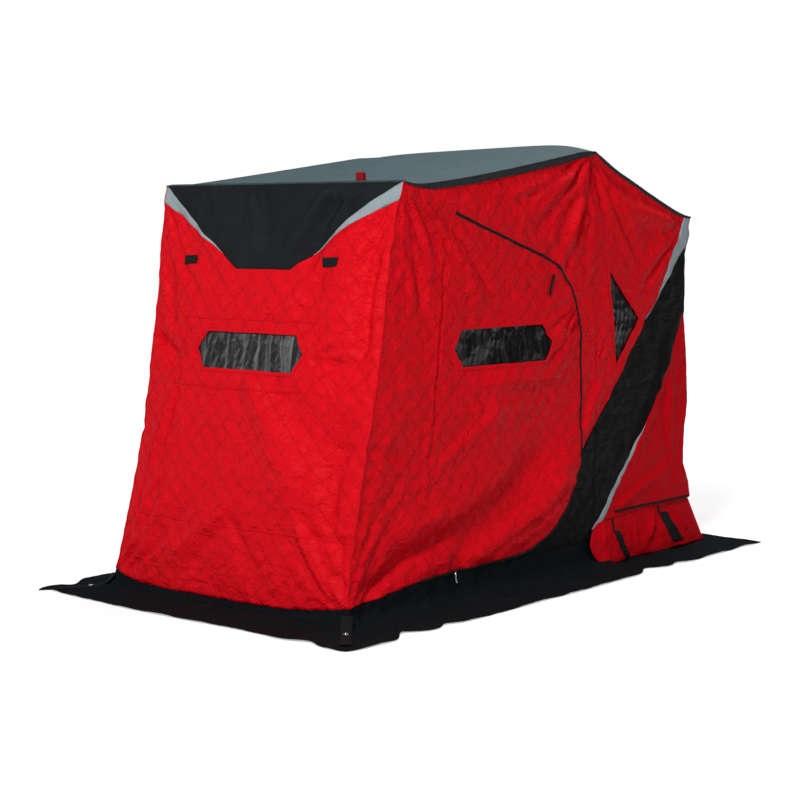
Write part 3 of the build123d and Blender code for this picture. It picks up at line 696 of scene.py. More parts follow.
class Graph:
    """A material's node tree with a Principled shader, built from Python sums."""

    def __init__(self, name: str) -> None:
        """Starts an empty material with an output and a Principled shader.

        Args:
            name: The material's name.
        """
        self.material = bpy.data.materials.new(name)
        self.material.use_nodes = True
        self.tree = self.material.node_tree
        self.tree.nodes.clear()
        self.shader = self.tree.nodes.new("ShaderNodeBsdfPrincipled")
        output = self.tree.nodes.new("ShaderNodeOutputMaterial")
        self.tree.links.new(self.shader.outputs[0], output.inputs[0])

    def node(self, kind: str, settings: Optional[dict] = None,
             inputs: Optional[dict] = None) -> bpy.types.Node:
        """Adds one node.

        Args:
            kind: The node's type.
            settings: Its properties, set first.
            inputs: Numbers, colours or values for its sockets, by name or place.

        Returns:
            The node.
        """
        made = self.tree.nodes.new(kind)
        for name, setting in (settings or {}).items():
            setattr(made, name, setting)
        for name, given in (inputs or {}).items():
            socket = made.inputs[name]
            if isinstance(given, Value):
                self.tree.links.new(given.socket, socket)
            else:
                socket.default_value = given
        return made

    def value(self, kind: str, settings: Optional[dict] = None, inputs: Optional[dict] = None,
              output: Union[int, str] = 0) -> Value:
        """Adds one node and gives one of its outputs as a value."""
        return Value(self, self.node(kind, settings, inputs).outputs[output])

    def cloth_coordinates(self) -> Value:
        """The piece's own flat coordinates, in metres."""
        return self.value("ShaderNodeUVMap", {"uv_map": "cloth"})

    def object_coordinates(self) -> Value:
        """Places in the object's own frame, in metres."""
        return self.value("ShaderNodeTexCoord", output="Object")

    def split(self, vector: Value) -> tuple[Value, Value, Value]:
        """The three parts of a vector."""
        parts = self.node("ShaderNodeSeparateXYZ", None, {0: vector})
        return tuple(Value(self, parts.outputs[k]) for k in range(3))

    def stretched(self, vector: Value, scale: Sequence[float], turn: float = 0.0) -> Value:
        """A vector scaled along its axes and turned about the third."""
        inputs = {"Vector": vector, "Rotation": (0.0, 0.0, turn), "Scale": tuple(scale)}
        return self.value("ShaderNodeMapping", None, inputs)

    def noise(self, vector: Value, scale: float, detail: float = 2.0, roughness: float = 0.5,
              distortion: float = 0.0) -> Value:
        """Random relief from 0 to 1.

        Args:
            vector: Where the relief is read.
            scale: Lumps for each metre.
            detail: How many finer sizes are added.
            roughness: How strong each finer size is.
            distortion: How far the relief is warped.

        Returns:
            The relief.
        """
        inputs = {"Vector": vector, "Scale": scale, "Detail": detail,
                  "Roughness": roughness, "Distortion": distortion}
        return self.value("ShaderNodeTexNoise", {"noise_dimensions": "3D"}, inputs)

    def blend(self, share: Union[Value, float], first: Union[Value, Colour],
              second: Union[Value, Colour]) -> Value:
        """Colours mixed by a share.

        Args:
            share: Share of the second colour.
            first: Colour at share 0.
            second: Colour at share 1.

        Returns:
            The mixed colour.
        """
        inputs = {0: share}
        for place, colour in ((6, first), (7, second)):
            inputs[place] = colour if isinstance(colour, Value) else (*colour, 1.0)
        return self.value("ShaderNodeMix", {"data_type": "RGBA"}, inputs, 2)

    def finish(self, constants: Optional[dict] = None, links: Optional[dict] = None,
               height: Optional[Value] = None, strength: float = 1.0) -> Material:
        """Sets the shader's sockets and gives the material.

        Args:
            constants: Numbers and colours that are the same all over the surface.
            links: Values that change over it.
            height: Relief in metres for a Bump node.
            strength: How strongly the relief shows.

        Returns:
            The finished material.
        """
        for name, given in (constants or {}).items():
            self.shader.inputs[name].default_value = given
        for name, given in (links or {}).items():
            self.tree.links.new(given.socket, self.shader.inputs[name])
        if height is not None:
            inputs = {"Strength": strength, "Distance": 1.0, "Height": height}
            bump = self.node("ShaderNodeBump", None, inputs)
            self.tree.links.new(bump.outputs[0], self.shader.inputs["Normal"])
        return self.material


# ------------------------------------------------------------------ finishes


def tinted(colour: Colour, share: float) -> Colour:
    """Colour made lighter or darker by a share."""
    return tuple(share * part for part in colour)


@dataclass(frozen=True)
class QuiltedCloth:
    """Satin polyester quilted in diamonds over wadding, with puckers beside the stitching."""

    name: str
    colour: Colour
    shade: Colour
    cell: float = 0.070
    pucker: float = 0.0036
    roughness: float = 0.50
    gloss: float = 0.05
    seam_halves: Point2 = (0.0036, 0.0008)
    stitch: float = 0.0046
    gather: float = 0.019

    def material(self) -> Material:
        """Builds the material: two crossed sets of stitch lines, with puckers along them, and shade
        painted into the creases' hollows and along the stitch grooves.

        Returns:
            The finished material.
        """
        graph = Graph(self.name)
        place = graph.cloth_coordinates()
        across, along, _ = graph.split(place)
        diagonal = self.cell * math.sqrt(2)
        first = ((across + along) * (1 / diagonal)).fraction().folded()
        second = ((across - along) * (1 / diagonal)).fraction().folded()
        edge = first.largest(second)
        seam = edge.step(*(1 - half / self.cell * 2 for half in self.seam_halves))
        stitches = ((across + along * 0.13) * (2 * math.pi / self.stitch)).wave().step(-0.7, 0.1)
        wander = graph.noise(place, 22.0, 2.0, 0.5)
        turns = 2 * math.pi / self.gather
        gathers = (((across - along) * turns + wander * 14.0).wave() * first.step(0.55, 1.0)
                   + ((across + along) * turns + wander * 11.0).wave() * second.step(0.55, 1.0))
        wrinkles = graph.noise(place, 42.0, 3.0, 0.55, 1.2).folded()
        folds = graph.noise(graph.stretched(place, (0.7, 1.4, 1.0), 0.5), 17.0, 2.0, 0.5, 0.5)
        leaning = graph.stretched(place, (1.2, 0.8, 1.0), -0.6)
        creases = graph.noise(leaning, 7.0, 2.0, 0.45, 0.4).folded()
        grain = graph.noise(place, 1100.0, 1.0, 0.5)
        height = (gathers * wander * self.pucker * 0.55
                  + wrinkles * (edge.step(0.3, 1.0) * 0.7 + 0.3) * self.pucker
                  + folds * 0.0140 + creases * 0.0120 + grain * 0.00004
                  - seam * (stitches * 0.5 + 0.5) * 0.0007)
        # Colour: random lumps of tone, plus shade painted into the hollows of the creases.
        tone_and_crease_shade = graph.noise(place, 4.0, 3.0, 0.55) * 0.6 + creases * 0.5
        colour = graph.blend(tone_and_crease_shade, self.shade, self.colour)
        # Darker along the stitch grooves: painted shade.
        colour = graph.blend(seam * 0.10, colour, tinted(self.shade, 0.5))
        return graph.finish({"Roughness": self.roughness, "Specular IOR Level": self.gloss},
                            {"Base Color": colour}, height)


@dataclass(frozen=True)
class PlainCloth:
    """Woven polyester without quilting: a fine weave, soft creases with painted shade in their
    hollows, and a little random variation of colour.
    """

    name: str
    colour: Colour
    shade: Colour
    roughness: float = 0.62
    crease: float = 0.002
    gloss: float = 0.10
    weave: float = 0.0015

    def material(self) -> Material:
        """Builds the material: weave of two crossed waves, and creases from folded noise, their
        hollows painted darker as shade.

        Returns:
            The finished material.
        """
        graph = Graph(self.name)
        place = graph.cloth_coordinates()
        across, along, _ = graph.split(place)
        turns = 2 * math.pi / self.weave
        weave = (across * turns).wave() * (along * turns).wave()
        creases = graph.noise(place, 9.0, 4.0, 0.55, 0.6).folded()
        dust = graph.noise(place, 3.0, 4.0, 0.6)
        height = weave * 0.00007 + creases * self.crease
        # Colour: random dust tone, plus shade painted into the hollows of the creases.
        colour = graph.blend(dust * 0.7 + creases * 0.3, self.shade, self.colour)
        return graph.finish(
            {"Specular IOR Level": self.gloss},
            {"Base Color": colour, "Roughness": (dust - 0.5) * 0.12 + self.roughness}, height)


@dataclass(frozen=True)
class ClearVinyl:
    """Soft window film, painted dark for the shaded inside seen through the clear vinyl, with
    upright ripples and bright bands of painted reflection.
    """

    name: str
    colour: Colour
    painted_reflection: Colour
    gloss: float

    def material(self) -> Material:
        """Builds the material: noise stretched upright for the ripples and for the bands of painted
        reflection.

        Returns:
            The finished material.
        """
        graph = Graph(self.name)
        place = graph.cloth_coordinates()
        ripples = graph.noise(graph.stretched(place, (30.0, 2.2, 1.0)), 1.0, 2.0, 0.5, 0.3)
        fine = graph.noise(graph.stretched(place, (120.0, 5.0, 1.0)), 1.0, 2.0, 0.5, 0.3)
        # Where the bright painted reflection lies on the film.
        reflection_share = ripples.step(0.44, 0.66) * (fine.step(0.35, 0.75) * 0.7 + 0.3)
        colour = graph.blend(reflection_share, self.colour, self.painted_reflection)
        return graph.finish(
            {"Roughness": 0.24, "Specular IOR Level": self.gloss},
            {"Base Color": colour}, ripples * 0.0040 + fine * 0.0006)


@dataclass(frozen=True)
class Webbing:
    """Woven strap: a herringbone of crossed ribs."""

    name: str
    colour: Colour
    rib: float = 0.0022
    chevron: float = 0.016

    def material(self) -> Material:
        """Builds the material: slanted ribs that turn back at the strap's middle.

        Returns:
            The finished material.
        """
        graph = Graph(self.name)
        along, across, _ = graph.split(graph.cloth_coordinates())
        slant = abs((across * (1 / self.chevron)).fraction() - 0.5) * self.chevron
        ribs = ((along + slant) * (2 * math.pi / self.rib)).wave()
        fuzz = graph.noise(graph.cloth_coordinates(), 700.0, 2.0)
        # Colour lighter on the rib crests and darker in their grooves: painted shade, with random
        # fuzz tone.
        colour = graph.blend(ribs * 0.25 + fuzz * 0.5, tinted(self.colour, 0.6),
                             tinted(self.colour, 1.3))
        return graph.finish({"Roughness": 0.72, "Specular IOR Level": 0.12},
                            {"Base Color": colour}, ribs * 0.0003 + fuzz * 0.0001)


@dataclass(frozen=True)
class ReflectiveTape:
    """Silver grey reflective cloth with a fine bead texture."""

    name: str = "reflective_tape"
    colour: Colour = (0.30, 0.36, 0.38)

    def material(self) -> Material:
        """Builds the material: fine grain over soft creases, whose hollows are painted darker as
        shade, with a slight gloss.

        Returns:
            The finished material.
        """
        graph = Graph(self.name)
        place = graph.cloth_coordinates()
        grain = graph.noise(place, 1400.0, 1.0)
        crease_relief = graph.noise(place, 12.0, 4.0, 0.6)
        # The colour darkens in the hollows of the crease relief: painted shade.
        colour = graph.blend(crease_relief, tinted(self.colour, 0.8), self.colour)
        return graph.finish({"Specular IOR Level": 0.3},
                            {"Base Color": colour, "Roughness": crease_relief * 0.2 + 0.34},
                            grain * 0.00005 + crease_relief * 0.002)


@dataclass(frozen=True)
class Metal:
    """Bare or plated metal with drawn lines and handling marks."""

    name: str
    colour: Colour
    roughness: float = 0.32
    lines: float = 380.0

    def material(self) -> Material:
        """Builds the material: noise stretched along the metal for its drawn lines.

        Returns:
            The finished material.
        """
        graph = Graph(self.name)
        place = graph.object_coordinates()
        drawn = graph.noise(graph.stretched(place, (1.0, 0.06, 0.06)), self.lines, 2.0, 0.6)
        marks = graph.noise(place, 14.0, 5.0, 0.6)
        colour = graph.blend(marks, tinted(self.colour, 0.72), self.colour)
        return graph.finish({"Metallic": 1.0},
                            {"Base Color": colour,
                             "Roughness": marks * 0.22 + drawn * 0.08 + (self.roughness - 0.14)},
                            drawn * 0.00003)


@dataclass(frozen=True)
class PowderCoat:
    """Powder coated steel with an orange-peel surface and rubbed patches."""

    name: str = "powder_coat"
    colour: Colour = (0.022, 0.023, 0.025)

    def material(self) -> Material:
        """Builds the material: fine lumps, with lighter rubbed patches.

        Returns:
            The finished material.
        """
        graph = Graph(self.name)
        place = graph.object_coordinates()
        peel = graph.noise(place, 620.0, 2.0)
        rubbed = graph.noise(place, 24.0, 5.0, 0.65).step(0.62, 0.8)
        colour = graph.blend(rubbed * 0.35, self.colour, (0.12, 0.12, 0.125))
        return graph.finish({"Specular IOR Level": 0.5},
                            {"Base Color": colour, "Roughness": rubbed * 0.15 + 0.42},
                            peel * 0.00012)


@dataclass(frozen=True)
class MouldedPlastic:
    """Rotationally moulded polyethylene: matt, slightly pebbled, scuffed where it drags."""

    name: str
    colour: Colour
    scuff: Colour = (0.075, 0.078, 0.082)

    def material(self) -> Material:
        """Builds the material: pebbles from fine noise, and scuffs stretched along the sled.

        Returns:
            The finished material.
        """
        graph = Graph(self.name)
        place = graph.object_coordinates()
        pebble = graph.noise(place, 260.0, 2.0)
        scuffs = graph.noise(graph.stretched(place, (9.0, 1.2, 9.0)), 7.0, 6.0, 0.7).step(0.56, 0.8)
        colour = graph.blend(scuffs * 0.5, self.colour, self.scuff)
        return graph.finish({"Specular IOR Level": 0.4},
                            {"Base Color": colour, "Roughness": scuffs * 0.18 + 0.48},
                            pebble * 0.0002)


class Finishes:
    """Every finish on the hut, built once and shared."""

    def __init__(self) -> None:
        """Builds the materials."""
        def plain(name: str, colour: Colour, shade: Colour, *rest: float) -> Material:
            """Material of a plain cloth."""
            return PlainCloth(name, colour, shade, *rest).material()

        self.red = QuiltedCloth("red_quilt", (0.76, 0.0050, 0.0130),
                                (0.60, 0.0022, 0.0080)).material()
        self.plain_red = plain("red_cloth", (0.63, 0.0020, 0.0085), (0.47, 0.0010, 0.0055),
                               0.6, 0.009, 0.04)
        self.red_trim = plain("red_binding", (0.70, 0.0048, 0.012), (0.56, 0.0022, 0.008),
                              0.5, 0.001, 0.05)
        self.crest = plain("black_crest", (0.0190, 0.0220, 0.0240), (0.0070, 0.0080, 0.0092),
                           0.6, 0.010, 0.05)
        self.stripe = QuiltedCloth("black_quilt", (0.0075, 0.0065, 0.0070),
                                   (0.0045, 0.0040, 0.0044), roughness=0.6).material()
        self.roof_edge = plain("slate_binding", (0.016, 0.023, 0.026), (0.010, 0.015, 0.017), 0.6)
        self.roof = plain("slate_roof", (0.086, 0.130, 0.143), (0.058, 0.092, 0.103), 0.66, 0.010)
        self.skirt = plain("skirt_cloth", (0.0060, 0.0095, 0.0115), (0.0036, 0.0056, 0.0068),
                           0.7, 0.010, 0.05)
        self.lining = plain("lining", (0.03, 0.031, 0.034), (0.018, 0.019, 0.021), 0.7)
        # The side film is a darker copy and the front film a lighter copy of one vinyl, each set
        # for how light falls on its wall: painted light and shade. The second colour of each is a
        # painted reflection.
        self.film = ClearVinyl("side_film", (0.0042, 0.0044, 0.0047), (0.034, 0.035, 0.036),
                               0.13).material()
        self.front_film = ClearVinyl("front_film", (0.018, 0.0185, 0.019), (0.155, 0.157, 0.159),
                                     0.25).material()
        self.webbing = Webbing("black_webbing", (0.013, 0.013, 0.014)).material()
        self.red_webbing = Webbing("red_webbing", (0.5, 0.012, 0.018)).material()
        self.tape = ReflectiveTape().material()
        self.aluminium = Metal("drawn_aluminium", (0.72, 0.73, 0.74)).material()
        self.nickel = Metal("nickel", (0.66, 0.65, 0.62), 0.22, 900.0).material()
        self.steel = PowderCoat().material()
        self.sled = MouldedPlastic("sled_polyethylene", (0.022, 0.023, 0.025)).material()


# ------------------------------------------------------------------ the hood's surface


def corner_points() -> dict[str, Point2]:
    """Corners of the hood in the side plane, as (y, z), read from the frame.

    Returns:
        Each corner by its name.
    """
    roof_low, roof_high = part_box("roof_front")
    _, rear_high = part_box("roof_rear")
    back_low, back_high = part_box("back_wall")
    front_low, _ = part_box("front_skirt")
    crest_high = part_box("front_crest")[1]
    return {
        "front_base": (front_low.y + 0.255, 0.0),
        "front_top": (roof_low.y, crest_high.z),
        "ridge": (roof_high.y, roof_high.z),
        "back_top": (rear_high.y, back_high.z),
        "back_hem": (back_high.y, back_low.z),
    }


CORNERS = corner_points()
HALF = float(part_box("roof_front")[1].x)
CLOTH = 0.005  # quilted cloth, as pressed flat
KICK_FRONT, KICK_HINGE, KICK_REAR = 0.092, 0.128, 0.145
HINGE_FOOT, HINGE_HEAD = (-0.862, 0.133), (-0.641, 1.721)
CREST_FOOT = (0.162, 1.448)
SIDE_FOLDS = (
    # broad folds: from the foot up to the stripe, and out of the ridge and the corners
    Fold(((-0.62, 0.16), (-0.30, 0.215), (-0.15, 0.275), (0.00, 0.345), (0.12, 0.435),
          (0.34, 0.72)), 0.038, 0.088),
    Fold(((-1.30, 0.09), (-1.10, 0.19), (-0.85, 0.265), (-0.60, 0.325), (-0.36, 0.40),
          (-0.12, 0.52), (0.10, 0.68)), -0.028, 0.052, 0.0),
    Fold(((-1.28, 0.05), (-1.00, 0.13), (-0.80, 0.17), (-0.50, 0.20)), 0.014, 0.050, 0.3),
    Fold(((0.25, 0.49), (0.12, 0.375), (0.00, 0.300), (-0.14, 0.250), (-0.46, 0.155)),
         -0.015, 0.028, 0.0),
    Fold(((0.41, 2.00), (0.29, 1.73), (0.15, 1.50), (0.06, 1.34)), 0.019, 0.036, 0.5),
    Fold(((0.415, 1.90), (0.35, 1.66), (0.27, 1.48)), 0.010, 0.018),
    Fold(((0.40, 1.98), (0.12, 1.80), (-0.14, 1.66)), 0.015, 0.030, 0.5),
    Fold(((0.39, 1.98), (0.06, 1.87), (-0.30, 1.77)), 0.010, 0.020),
    Fold(((0.44, 1.94), (0.53, 1.80), (0.55, 1.77), (0.66, 1.60), (0.80, 1.40)), 0.012, 0.026),
    Fold(((1.16, 1.675), (0.90, 1.715), (0.56, 1.770)), 0.024, 0.044, 0.0),
    Fold(((1.17, 1.610), (1.00, 1.520), (0.76, 1.390)), 0.014, 0.034),
    Fold(((-1.05, 0.34), (-0.55, 0.41), (-0.05, 0.56)), 0.019, 0.110, 0.0),
    Fold(((0.27, 1.12), (-0.16, 0.99), (-0.66, 0.66)), 0.028, 0.170, 0.0),
    Fold(((1.24, 1.640), (1.05, 1.460), (0.86, 1.310)), 0.007, 0.022),
    Fold(((-0.96, 1.80), (-0.84, 1.62), (-0.76, 1.42)), 0.015, 0.024),
    Fold(((-0.90, 1.80), (-0.66, 1.60), (-0.50, 1.40), (-0.34, 1.20)), 0.016, 0.030),
    Fold(((-0.98, 1.76), (-0.92, 1.52), (-0.90, 1.24)), 0.012, 0.022),
    Fold(((-0.62, 1.62), (-0.48, 1.44), (-0.36, 1.30)), 0.010, 0.018),
    Fold(((-1.22, 0.74), (-1.00, 0.68), (-0.72, 0.62)), -0.013, 0.034, 0.0),
    Fold(((-0.74, 0.60), (-0.55, 0.71), (-0.27, 0.86)), 0.009, 0.034),
    Fold(((-1.30, 0.16), (-1.08, 0.42), (-0.86, 0.60)), 0.008, 0.034),
    Fold(((-1.30, 0.20), (-1.14, 0.56), (-1.04, 0.86)), 0.007, 0.030),
    Fold(((0.14, 0.952), (-0.20, 0.948), (-0.62, 0.942)), 0.009, 0.026),
    Fold(((0.32, 0.66), (0.40, 0.79), (0.50, 0.94)), 0.013, 0.034),
    Fold(((0.30, 1.24), (0.10, 1.10), (-0.06, 1.03)), 0.008, 0.016),
    Fold(((-0.705, 1.62), (-0.755, 1.20), (-0.795, 0.80), (-0.845, 0.36)), 0.006, 0.012, 1.0),
    Fold(((0.60, 0.26), (0.85, 0.36), (1.22, 0.45)), 0.012, 0.030),
    Fold(((0.72, 0.46), (0.98, 0.80), (1.18, 1.16)), 0.013, 0.040),
    Fold(((1.25, 0.32), (1.12, 0.62), (1.13, 0.98)), 0.010, 0.032),
)
SIDE_FANS = (
    Fan((0.43, 2.00), (-0.06, 1.40), 92.0, 9.0, 0.0085, 3),
    Fan((0.43, 2.00), (0.78, 1.46), 50.0, 4.0, 0.0080, 4),
    Fan((-0.985, 1.816), (-0.50, 1.12), 78.0, 8.0, 0.0075, 5),
    Fan((-1.350, 0.03), (-0.72, 0.62), 62.0, 7.0, 0.0042, 8),
    Fan((1.290, 1.68), (0.66, 1.26), 56.0, 5.0, 0.0060, 11),
    Fan((0.31, 1.30), (-0.12, 0.98), 70.0, 7.0, 0.0060, 14),
    Fan((0.44, 0.40), (-0.20, 0.72), 60.0, 5.0, 0.0060, 16),
    Fan((0.43, 0.98), (0.60, 1.22), 80.0, 5.0, 0.0050, 18),
)
FRONT_FOLDS = (
    # beside the right corner, then below the window, then the foot
    Fold(((0.615, 1.04), (0.610, 1.40), (0.618, 1.80)), -0.038, 0.046, 0.0),
    Fold(((0.47, 1.08), (0.45, 1.40), (0.50, 1.74)), 0.018, 0.075, 0.0),
    Fold(((0.34, 1.065), (0.50, 1.055), (0.72, 1.05)), -0.020, 0.036, 0.0),
    Fold(((-0.01, 1.01), (0.20, 0.77), (0.47, 0.40)), 0.034, 0.095, 0.5),
    Fold(((0.38, 0.42), (0.53, 0.23), (0.68, 0.06)), 0.020, 0.032, 0.4),
    Fold(((-0.02, 0.43), (0.08, 0.28), (0.24, 0.07)), -0.016, 0.044, 0.0),
    Fold(((-0.01, 0.43), (-0.20, 0.28), (-0.40, 0.13)), 0.018, 0.044, 0.5),
    Fold(((0.42, 0.365), (0.56, 0.345), (0.72, 0.335)), -0.013, 0.030, 0.0),
    Fold(((0.57, 0.32), (0.55, 0.60), (0.57, 0.86)), -0.024, 0.058, 0.0),
    Fold(((-0.68, 1.15), (-0.57, 1.085), (-0.44, 1.02)), -0.040, 0.044, 0.0),
    Fold(((0.34, 0.945), (-0.10, 0.95), (-0.50, 0.945)), 0.008, 0.028),
    Fold(((-0.44, 0.96), (-0.53, 0.72), (-0.60, 0.50)), 0.014, 0.022),
    Fold(((0.37, 1.53), (0.27, 1.38), (0.14, 1.20)), 0.012, 0.034),
    Fold(((-0.68, 1.68), (-0.50, 1.40), (-0.34, 1.20)), 0.010, 0.026),
    Fold(((-0.70, 1.50), (-0.60, 1.24), (-0.48, 1.02)), 0.010, 0.026),
    Fold(((-0.69, 0.14), (-0.52, 0.30), (-0.36, 0.60)), 0.014, 0.034),
    Fold(((0.69, 0.10), (0.58, 0.22), (0.50, 0.36)), 0.012, 0.030),
    # soft folds of the crest
    Fold(((-0.50, 1.80), (-0.44, 1.68), (-0.34, 1.54)), 0.020, 0.030),
    Fold(((0.34, 1.80), (0.26, 1.67), (0.13, 1.47)), 0.050, 0.050),
    Fold(((-0.14, 1.80), (-0.10, 1.64), (-0.06, 1.46)), 0.028, 0.050),
    Fold(((0.50, 1.79), (0.40, 1.69), (0.25, 1.56)), 0.014, 0.022),
)
FRONT_FANS = (
    Fan((-0.712, 1.80), (-0.20, 1.16), 66.0, 8.0, 0.0070, 21),
    Fan((0.712, 1.80), (0.30, 1.10), 66.0, 8.0, 0.0070, 22),
    Fan((-0.712, 0.03), (-0.24, 0.70), 66.0, 7.0, 0.0080, 23),
    Fan((0.712, 0.03), (0.22, 0.74), 66.0, 7.0, 0.0060, 24),
    Fan((0.36, 1.09), (0.72, 1.04), 110.0, 8.0, 0.0045, 25),
    Fan((-0.34, 1.09), (-0.70, 1.06), 110.0, 7.0, 0.0060, 26),
)


def front_hem(x: Array) -> Array:
    """Height of the front wall's red edge: level in the middle, swept up to both corners."""
    share = np.clip(np.asarray(x, float) / HALF, -1.0, 1.0)
    return 0.042 + 0.050 * np.where(share < 0, np.abs(share) ** 6, np.abs(share) ** 2.6)


def straight(height: Array, low: Point2, high: Point2) -> Array:
    """Place along a slanting edge at each height, from its two (y, z) ends."""
    return low[0] + (high[0] - low[0]) * (height - low[1]) / (high[1] - low[1])


def front_edge(height: Array) -> Array:
    """Place along the hut of the front wall's slope at each height."""
    return straight(height, CORNERS["front_base"], CORNERS["front_top"])


def back_edge(height: Array) -> Array:
    """Place along the hut of the back wall's slope at each height."""
    return straight(height, CORNERS["back_hem"], CORNERS["back_top"])


FRONT_FOOT = (float(front_edge(KICK_FRONT)), KICK_FRONT)  # where the red cloth's corner ends


@dataclass(frozen=True)
class HoodShape:
    """The hood's outer face as a function of a place in each wall's own plane."""

    cell: float = 0.070
    quilt: float = 0.0024
    tilt: float = 0.0032
    crumple: float = 0.0050
    pole_room: float = 0.0030
    room_slope: float = 0.30
    pole_half: float = 0.014
    waver: float = 0.007
    wrap: tuple[tuple[float, ...], tuple[float, ...]] = (
        (-0.985, -0.93, -0.80, -0.55, 0.25, 0.39, 0.43, 0.55, 1.15, 1.286),
        (0.10, 0.30, 0.85, 1.10, 1.15, 0.75, 0.35, 0.50, 0.55, 0.30))
    rear_pulls: tuple[tuple[float, ...], tuple[float, ...]] = (
        (0.27, 0.34, 0.44, 0.52, 0.75, 0.95, 1.16, 1.50, 1.69),
        (0.0, 0.017, 0.074, 0.066, 0.028, 0.040, 0.062, 0.068, 0.0))
    poles: tuple[tuple[Point2, Point2], ...] = (
        ((0.457, 0.345), (1.266, 1.662)), ((0.43, 1.50), (-0.96, 1.792)),
        ((0.40, 0.30), (1.30, 0.30)), ((0.392, 0.330), (0.06, 0.012)))

    def roof_height(self, y: Array) -> Array:
        """Height of the roof's side edge before it sags."""
        knots = [CORNERS["front_top"], CORNERS["ridge"], CORNERS["back_top"]]
        return np.interp(y, [k[0] for k in knots], [k[1] for k in knots])

    def roof_sag(self, y: Array, right: Union[Array, float]) -> Array:
        """How far the roof's side edge hangs below a straight line between its bars.

        A sine hump, leaning towards the front bar, and a flat-topped hump behind the ridge.
        The front hump is slacker towards the right side.

        Args:
            y: Length along the hut.
            right: 1 at the right side, 0 at the left one.

        Returns:
            The drop at each place.
        """
        front, ridge, back = (CORNERS[k][0] for k in ("front_top", "ridge", "back_top"))
        ahead = np.clip((y - front) / (ridge - front), 0.0, 1.0)
        behind = np.clip((y - ridge) / (back - ridge), 0.0, 1.0)
        at_bars = 0.011 * bell(y, ridge, 0.055) - 0.010 * bell(y, front, 0.060)
        return ((0.003 + 0.021 * right) * np.sin(np.pi * ahead ** 0.6) + at_bars
                + 0.025 * (1 - np.abs(2 * behind - 1) ** 4))

    def wrap_share(self, y: Array) -> Array:
        """How far the roof cloth wraps down over the side at each place, 1 for its full width."""
        return np.interp(y, *self.wrap)

    def rear_pull(self, z: Array) -> Array:
        """How far the slack back edge is drawn in at each height."""
        return np.interp(z, *self.rear_pulls)

    def corner_pull(self, z: Array, side: Side) -> Array:
        """How far the slack front corner is drawn in at each height.

        Args:
            z: Height of each place.
            side: Which side.

        Returns:
            The pull at each height.
        """
        share = np.clip(z / CORNERS["front_top"][1], 0.0, 1.0)
        if side is Side.RIGHT:
            return 0.018 * np.sin(np.pi * share) ** 0.5 + 0.009 * np.sin(3 * np.pi * share)
        return 0.062 * np.sin(np.pi * share ** 0.85) ** 1.5

    def room_at_poles(self, y: Array, z: Array) -> Array:
        """How far inwards the side cloth may come, least where a pole bears on it.

        The distance to the rear hoop's legs, the front hoop's arms and the sled's rim, each
        a straight line in the side plane, grows into room by a fixed share.

        Args:
            y: Length along the hut of each place.
            z: Height of each place.

        Returns:
            The room at each place.
        """
        room = np.full(np.broadcast(y, z).shape, 1.0)
        for start, end in self.poles:
            run = np.subtract(end, start)
            share = ((y - start[0]) * run[0] + (z - start[1]) * run[1]) / (run @ run)
            share = np.clip(share, 0.0, 1.0)
            away = np.hypot(y - start[0] - share * run[0], z - start[1] - share * run[1])
            beyond = np.maximum(away - self.pole_half, 0.0)
            room = np.minimum(room, self.pole_room + self.room_slope * beyond)
        return room

    def quilting(self, a: Array, b: Array) -> Array:
        """Pillows of the diamond quilting, each one tilted its own way, as pulled cloth is.

        The pillow is the root of two crossed humps' product, a cell apart. The tilt is a plane
        whose slopes come from the cell's number, and it fades out at the stitching.

        Args:
            a: First flat coordinate of the cloth.
            b: Second flat coordinate.

        Returns:
            Height of the pillows at each place.
        """
        diagonal = self.cell * math.sqrt(2)
        one, two = (a + b) / diagonal, (a - b) / diagonal
        first, second = 2 * np.mod(one, 1.0) - 1, 2 * np.mod(two, 1.0) - 1
        bowl = (1 - first ** 2) * (1 - second ** 2)
        cell = np.floor(one) * 12.9898 + np.floor(two) * 78.233
        lean_one, lean_two, full = (2 * np.mod(np.sin(cell + shift) * 43758.5453, 1.0) - 1
                                    for shift in (0.0, 1.7, 3.1))
        tilt = self.tilt * (lean_one * first + lean_two * second) * bowl ** 0.35
        return self.quilt * (1 + 0.5 * full) * (np.sqrt(bowl) - 0.5) + tilt

    def side_flat(self, y: Array, z: Array) -> Array:
        """Flat coordinates of the side cloth, wandering a little as sewn cloth does."""
        return self.wavered(Relief(31), y, z)

    def wavered(self, relief: Relief, a: Array, b: Array, stretch: float = 1.0) -> Array:
        """Flat coordinates that wander by a smooth random relief in both directions.

        Args:
            relief: The relief.
            a: Place across the cloth.
            b: Place up it.
            stretch: How much longer the cloth is cut than it stands.

        Returns:
            The flat coordinates.
        """
        return np.stack([a + self.waver * relief.sample(a, b, 0.22),
                         b * stretch + self.waver * relief.sample(b, a, 0.20)], -1)

